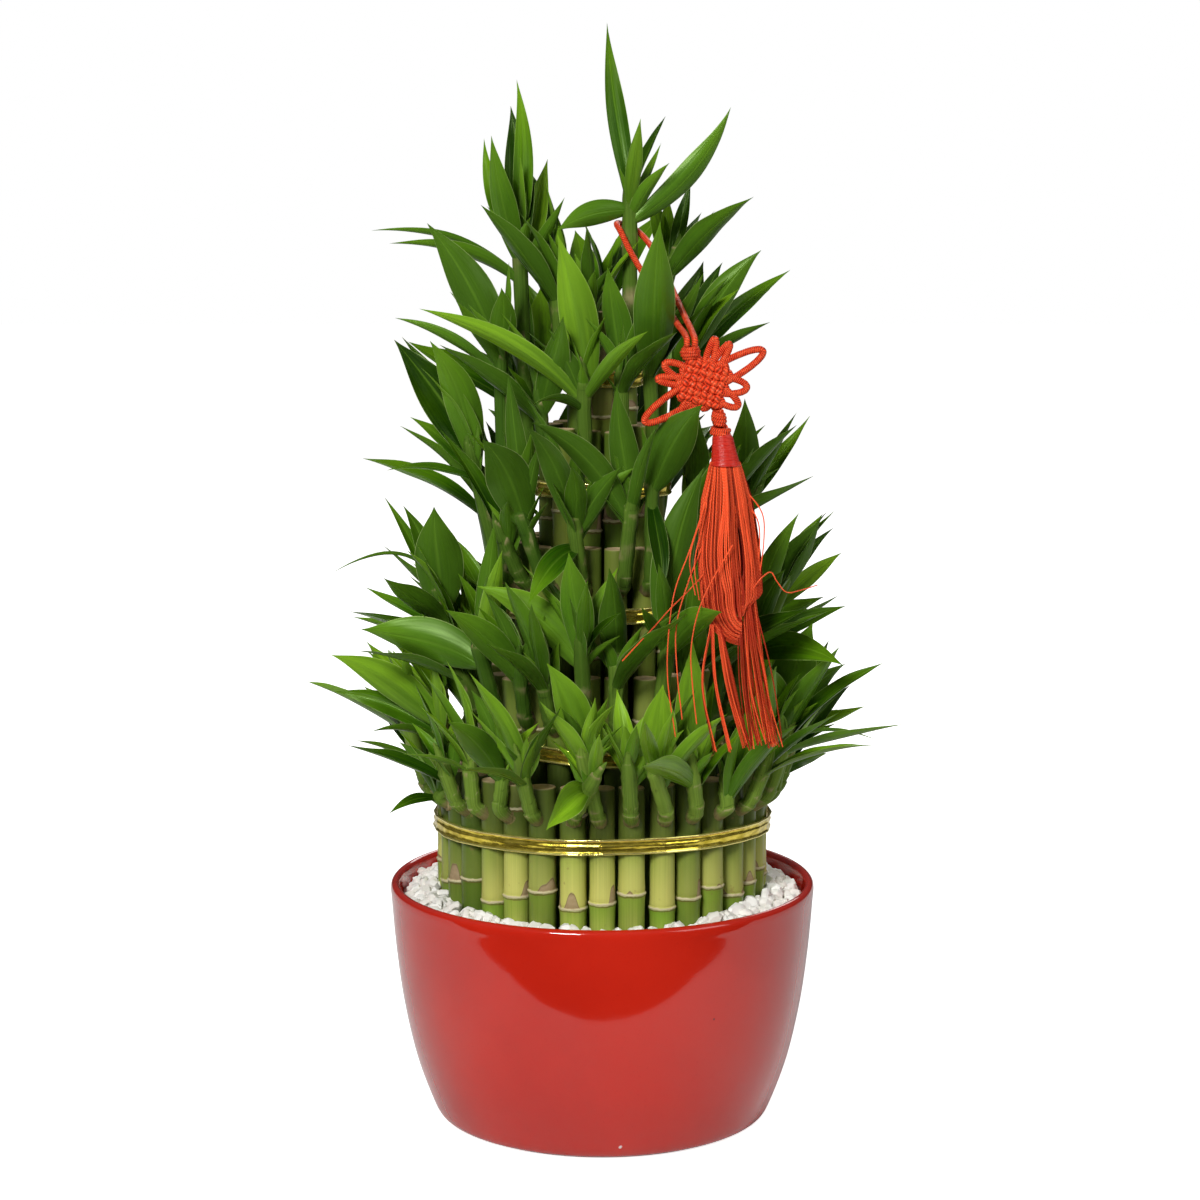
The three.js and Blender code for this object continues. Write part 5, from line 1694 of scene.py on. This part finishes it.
@dataclass(frozen=True)
class Ribbon:
    """A gold foil ribbon round a tier: a flat band between two rolled edges, pulled tight."""

    tier: Tier
    steps: int = 360
    clear: float = 0.3
    sag: float = 0.3
    half: float = 3.5
    # Where the band folds out level, how far round that reaches and how far it leans there
    fold_at: float = 302
    fold_reach: float = 13
    fold_lean: float = 0.34
    # Waves round the tier, each a size and a count: the lean, the height and the two edges' twist
    leans: tuple = ((0.05, 5), (0.04, 13))
    wanders: tuple = ((0.25, 3), (0.12, 8))
    edge_twist: float = 0.16
    # The section: up and out
    section: tuple = (
        (-3.5, 0.0), (-3.5, 0.5), (-3.2, 0.85), (-2.8, 0.8), (-2.5, 0.45), (-1.6, 0.28), (-0.5, 0.36),
        (0.2, 0.70), (0.7, 0.62), (1.1, 0.34), (1.9, 0.28), (2.5, 0.45), (2.8, 0.8), (3.2, 0.85), (3.5, 0.5),
        (3.5, 0.0), (2.4, -0.1), (0.0, -0.1), (-2.4, -0.1),
    )

    def build(self) -> None:
        """Carries the section round the tier, flat between the canes that it bears on.

        The band leans by sines of the angle, and folds out level over a stretch at the front left.
        """
        sides = max(16, self.tier.groups * self.tier.each)
        reach = math.hypot(self.tier.ring + self.tier.cane / 2, self.tier.cane / 2 * math.tan(math.pi / 8))
        inner = (reach + self.clear) / math.cos(math.pi / sides)
        angle = shares(self.steps)[:, None] * 360
        a = np.radians(angle)
        across, out = np.array(self.section).T
        phase = 6 * draw(self.tier.number, Salt.SWAY)
        lean = wavy(0.0, a, phase, *self.leans) - self.fold_lean * hump(angle, self.fold_at, self.fold_reach)
        twist = self.edge_twist * np.sin(9 * a + 3 * phase) * np.sin(2 * a + phase)
        radius = (inner + out * (1 + twist * np.sign(across)) + across * lean
                  - self.sag * np.abs(np.sin(a * sides / 2)))
        z = self.tier.band_height(angle) + wavy(0.0, a, phase, *self.wanders) + across * np.cos(lean)
        skin = Skin()
        marks = stacked(across / self.half, a * inner, self.tier.number)
        skin.add(around(angle, radius, z), {"strip": marks}, loop=True)
        number = self.tier.number + 1
        skin.piece(f"gold_ribbon_{number}", [FOIL], "ribbon_gold", [f"ribbon_tier{number}"], sharp=70)


@dataclass(frozen=True)
class Knot:
    """The red knot: a woven block on its corner, its loops, and the button over it."""

    centre: tuple[float, float, float] = (42, -71, 335)
    tilt: float = 16.0
    block: float = 17.5
    rows: int = 6
    cord: float = 1.5
    sides: int = 12
    rise: float = 1.3
    lay: float = 5.2
    # How far a row's end turns out past the block, as a share of the gap, and how deep in the block
    # the loops start
    turn_out: float = 0.45
    loop_start: float = 0.32
    # The button's winding: how many turns, how thick and how closely laid its cord is, and its place
    # across and up and its radius at its foot, middle and top
    wound: float = 4.5
    winding: tuple[float, float] = (0.95, 5.0)
    button: tuple = ((-6, 10, 2.2), (-5.6, 12.6, 3.6), (-5.3, 15.3, 3.3))
    # Each loop's angle, reach and width
    loops: tuple = ((76, 19, 3.4), (57, 19.5, 3.4), (29, 28, 8), (-5, 18, 7), (-33, 17, 6), (-124, 20, 4),
                    (-147, 29, 8), (174, 19, 3.6), (153, 18, 6))

    def serpentine(self, turned: bool) -> Array:
        """One cord of the weave: it runs to and fro in rows, over and under by a sine of its way along.

        Args:
            turned: Whether its rows run up instead of across.

        Returns:
            The cord's points, about the knot's middle.
        """
        gap = self.block / self.rows
        reach = self.block / 2
        x = np.linspace(-reach, reach, self.rows * 6 + 1)
        points = []
        for row in range(self.rows):
            level = (row - (self.rows - 1) / 2) * gap
            wave = np.sin((x / gap + row + (0 if turned else 1)) * np.pi) * self.rise
            line = stacked(x, wave, level)
            points.append(line if row % 2 == 0 else line[::-1])
            if row < self.rows - 1:
                end = (reach + gap * self.turn_out) * (1 if row % 2 == 0 else -1)
                points.append(np.array([[end, 0.0, level + gap / 2]]))
        path = np.vstack(points)
        return path[:, [2, 1, 0]] if turned else path

    def loop(self, angle: float, reach: float, width: float) -> Array:
        """A bow in the knot's plane: out by sin^0.8 of its way and across by its cosine.

        Args:
            angle: Which way it points, from the right upwards.
            reach: How far out it comes.
            width: Its width at its foot.

        Returns:
            Its points, about the knot's middle.
        """
        a = math.radians(angle)
        out, across = np.array([math.cos(a), 0, math.sin(a)]), np.array([-math.sin(a), 0, math.cos(a)])
        start = self.block * self.loop_start
        turn = np.linspace(0, np.pi, 13)[:, None]
        far = start + (reach - start) * np.maximum(np.sin(turn), 0) ** 0.8
        return out * far + across * width / 2 * np.cos(turn)

    def build(self) -> None:
        """Makes the weave, the loops and the button's winding of the same twisted cord."""
        skin = Skin()
        c, s = math.cos(math.radians(self.tilt)), math.sin(math.radians(self.tilt))
        turn = np.array([[c, 0, -s], [0, 1, 0], [s, 0, c]])
        hint = np.array([0.02, 1.0, 0.01])
        lines = [smooth(self.serpentine(turned) @ turn, 2) for turned in (False, True)]
        lines += [smooth(self.loop(*numbers), 3) for numbers in self.loops]
        for line in lines:
            skin.add(*twisted(line + self.centre, self.cord, self.sides, self.lay, hint))
        x, z, radius = np.array(self.button).T
        way = np.linspace(0, 1, 60)
        a = way * 2 * np.pi * self.wound
        thirds = [0, 0.5, 1]
        bulge = np.interp(way, thirds, radius) * (0.55 + 0.45 * np.sin(np.pi * (0.12 + 0.76 * way)))
        line = stacked(np.interp(way, thirds, x) + bulge * np.cos(a), bulge * np.sin(a),
                       z[0] + (z[2] - z[0]) * way)
        thick, lay = self.winding
        skin.add(*twisted(line + self.centre, thick, self.sides - 2, lay, UP))
        skin.piece("knot_weave", [SATIN_CORD], "cord_red", ["knot"])


@dataclass(frozen=True)
class Tassel:
    """The tassel under the knot: a small knot, a wound head, and a skirt of silk threads."""

    # The middle and radius of the head and skirt, from the top down
    rings: tuple = ((48, -71.5, 323.7, 1.5), (48, -72, 320.6, 3.4), (48.8, -73, 317.3, 2.6),
                    (49.6, -74, 315.9, 4.8), (50.9, -77, 303.6, 5.6), (51, -77.6, 302, 6.2),
                    (51.6, -80, 288, 9.6), (52.8, -84.5, 262, 12.3), (53.8, -87, 244, 12.6),
                    (54.6, -88.5, 230, 10.8), (55, -90, 219, 8))
    # Threads in each layer of the skirt, and the share of the radius that it hangs at
    layers: tuple = ((104, 1.0), (88, 0.86))
    # The skirt's top, how far it hangs free, and where and at what heights it gathers
    skirt_top: float = 303
    skirt_fall: float = 53
    gather: tuple[float, float] = (57.5, -90)
    folds: Span = (229, 247)
    # Threads in each lock below the skirt, how loose it is, and its route
    locks: tuple = (
        (3, 0.6, ((45, -91, 237), (41.5, -93, 213), (47, -95, 184.5))),
        (5, 1.0, ((46, -91, 237), (47.4, -94, 213), (53.7, -96, 185))),
        (17, 1.8, ((49, -91, 238), (53, -95, 213), (60, -97, 187))),
        (6, 1.0, ((56.4, -93, 246), (57.5, -96, 216), (61, -98, 187))),
        (34, 2.7, ((60, -90, 247), (63.5, -93, 224), (66.5, -95, 205), (70, -96, 188))),
        (8, 1.6, ((59, -91, 238), (61, -95, 207), (64.5, -97, 188))),
    )
    strays: tuple = (
        ((42.7, -88, 288), (36, -93, 268.5), (29.8, -95, 251.7), (27.3, -96, 234.4), (26.9, -97, 215),
         (30.2, -98, 191)),
        ((53.5, -94, 270.6), (42.7, -97, 251.7), (38.5, -98, 240.3), (36.4, -99, 227.3), (36.9, -99, 215),
         (38.9, -99, 196.6)),
        ((42, -90, 258), (36, -88, 251), (28, -88, 243), (21.5, -89, 235.7), (14, -91, 228),
         (8.2, -92, 221.8)),
        ((60, -89, 247), (62.6, -91, 252.5), (66, -92, 257), (69.3, -92, 259), (72, -92, 255),
         (76, -92, 250.6), (82, -92, 251.5), (88.8, -91, 253.5)),
        ((57, -80, 294), (65.9, -84, 282.8), (66.8, -86, 272.7), (63.9, -88, 252.5), (61, -89, 244)),
        ((56, -80, 291), (64, -84, 280), (65, -86, 270), (62.5, -88, 250), (60, -89, 243)),
        ((45.6, -80, 300), (40.6, -86, 280.6), (36, -89, 263.9), (38.4, -90, 249)),
        ((45.6, -80, 298), (41.6, -87, 279), (38, -90, 262), (40, -90, 247)),
        ((44, -86, 276), (34.6, -90, 252), (30.5, -92, 236), (31, -94, 216), (33, -96, 198)),
    )
    depth: float = 0.62
    wisps: int = 17
    thread: float = 0.3
    sides: int = 5
    # The bound head: its top and foot, its rings and sides, and its radius at some heights
    head_span: Span = (315.0, 301.6)
    head_rings: int = 46
    head_sides: int = 28
    head_depth: float = 0.8
    head_shape: tuple = ((301.6, 6.5), (303, 5.9), (308, 5.0), (313, 4.3), (315, 3.2))
    # The wound cords over the head: top, height, turns, radius and the cord's own radius
    windings: tuple = ((323.6, 6.0, 4.5, 2.5, 0.95), (317.2, 3.6, 2.5, 3.6, 1.15))
    winding_lay: float = 5.0
    winding_sides: int = 10
    # The windings' middle line: a point on it, how far right it runs going down and how far forward
    # for that, then the windings' depth against their width and how far each turn is tipped
    winding_from: tuple[float, float, float] = (48, -72.2, 324)
    winding_run: Span = (0.12, 1.4)
    winding_depth: float = 0.85
    winding_tip: float = 0.35
    core_share: float = 0.74
    skirt_seed: int = 11
    lock_seed: int = 5

    def centre(self, z: Array) -> tuple[Array, Array]:
        """The skirt's middle line and radius at given heights."""
        x, y, height, radius = np.array(self.rings[::-1]).T
        return stacked(np.interp(z, height, x), np.interp(z, height, y), z), np.interp(z, height, radius)

    def skirt(self, skin: Skin) -> None:
        """Threads from under the head that belly out and fold in below, each inside the one to its left.

        A thread keeps its share of the radius to 250 mm and sways with the others of its wisp. Below
        that it is a cubic curve down and then level to the place where they gather, the lower the
        further left it started.
        """
        chance = np.random.default_rng(self.skirt_seed)
        for count, share in self.layers:
            angle = turns(count)[:, None] + chance.uniform(-0.35, 0.35, (count, 1)) / count * 2 * np.pi
            way = np.linspace(0, 1, 15)[None, :]
            z = self.skirt_top - self.skirt_fall * way + 0 * angle
            place, radius = self.centre(z)
            wisp = np.arange(count) * self.wisps // count
            swell, wander = chance.normal(0, 1, (2, self.wisps, 1))[:, wisp]
            bulge = 1 + (0.045 * swell + chance.normal(0, 0.022, (count, 1))) * np.sin(np.pi * way)
            out = (radius * share + 0.25) * bulge
            a = angle + (0.075 * wander + chance.normal(0, 0.03, (count, 1))) * np.sin(2.2 * np.pi * way)
            line = place + stacked(out * np.sin(a), -self.depth * out * np.cos(a), 0.0)
            start = line[:, -1:]
            left = (np.sin(angle) + 1) / 2
            foot = between(self.folds, left) + chance.normal(0, 0.5, (count, 1))
            depth = self.gather[1] - 5.5 * np.cos(angle) * share
            end = stacked(self.gather[0], depth, foot)
            u = np.linspace(0, 1, 11)[None, 1:, None]
            fall = start * [1, 1, 0] + end * [0, 0, 1]
            level = end + (start - end) * [0.45, 0.3, 0]
            curve = ((1 - u) ** 3 * start + 3 * u * (1 - u) ** 2 * (start * 0.35 + fall * 0.65)
                     + 3 * u**2 * (1 - u) * level + u**3 * end)
            self.threads_along(skin, np.concatenate([line, curve], 1), chance.uniform(0.0, 1.0, count) ** 0.8)

    def threads_along(self, skin: Skin, line: Array, tone: Array) -> None:
        """Adds one thread along each line, thinner at its end.

        Args:
            skin: What the threads are added to.
            line: The lines, shape (threads, stations, 3).
            tone: A shade for each thread.
        """
        thin = self.thread * np.linspace(1, 0.8, line.shape[-2])[:, None]
        rings = tube(line, thin, self.sides, np.array([1.0, -0.35, 0.05]))
        marks = stacked(shares(self.sides), travelled(line)[..., None], tone[:, None, None])
        skin.add(rings, {"lay": marks})

    def core(self, skin: Skin) -> None:
        """A fluted body inside the threads, so that none of the skirt is hollow."""
        x, y, z, radius = np.array(self.rings[5:9]).T[..., None]
        a = turns(24)
        r = radius * self.core_share * (0.9 + 0.1 * np.cos(12 * a))
        skin.add(stacked(x + r * np.sin(a), y - self.depth * r * np.cos(a), z), {"lay": np.array(0.0)})

    def head(self, skin: Skin) -> None:
        """The bound head, a cap of cord over it and the small knot above."""
        z = np.linspace(*self.head_span, self.head_rings)
        x, y, _ = self.centre(z)[0].T[..., None]
        wound = np.interp(z, *np.array(self.head_shape).T)
        wound = (wound * (1 + 0.018 * np.abs(np.sin(np.arange(self.head_rings) * np.pi / 2))))[:, None]
        a = turns(self.head_sides)
        z = z[:, None]
        skin.add(stacked(x + wound * np.sin(a), y - self.head_depth * wound * np.cos(a), z),
                 {"lay": stacked(np.minimum(a, 2 * np.pi - a) / np.pi, z, 0.45)}, finish=1)
        start = np.array(self.winding_from)
        for top, fall, count, wide, cord in self.windings:
            way = np.linspace(0, 1, int(count * 14))
            turn = way * 2 * np.pi * count
            bulge = wide * (0.62 + 0.38 * np.sin(np.pi * way))
            aside = (start[2] - top + fall * way) * self.winding_run[0]
            line = start[:2] + stacked(
                aside + bulge * np.cos(turn),
                -aside * self.winding_run[1] + self.winding_depth * bulge * np.sin(turn))
            z = top - fall * way + self.winding_tip * np.sin(turn)
            line = np.column_stack([line, z])
            skin.add(*twisted(line, cord, self.winding_sides, self.winding_lay, UP))

    def build(self) -> None:
        """Makes the head, the core, the skirt, the locks below it and the stray threads."""
        bound = Skin()
        self.head(bound)
        bound.piece("tassel_head", [SATIN_CORD, SATIN_BINDING], "tassel_red", ["tassel"])
        skin = Skin()
        self.core(skin)
        self.skirt(skin)
        chance = np.random.default_rng(self.lock_seed)
        for count, scatter, route in self.locks:
            line = smooth(route, 8)[None]
            way = np.linspace(0, 1, line.shape[1])[None, :, None]
            aside = chance.normal(0, 0.6, (count, 1, 3)) * [1, 0.7, 0.3] * scatter
            drift = chance.normal(0, 0.55, (count, 1, 3)) * [1, 0.6, 0.8] * scatter
            bend = chance.normal(0, 0.5, (count, 1, 3)) * [1, 0.6, 0] * scatter
            lines = line + aside + drift * way + bend * np.sin(np.pi * way)
            self.threads_along(skin, lines, chance.uniform(0.1, 0.9, count))
        for stray in self.strays:
            self.threads_along(skin, smooth(stray, 6)[None], np.array([0.9]))
        skin.piece("tassel_threads", [SILK_THREAD], "tassel_red", ["tassel"])


def main() -> None:
    """Builds the scene: camera and cord first, then the bowl, the tower and the ornaments."""
    logging.basicConfig(level=logging.INFO, format="%(message)s")
    studio = Studio()
    studio.camera()
    HangingCord().build()
    studio.build()
    Bowl().build()
    Pebbles().build()
    Tower().build()
    for tier in TIERS:
        Ribbon(tier).build()
    Knot().build()
    Tassel().build()


if __name__ == "__main__":
    main()
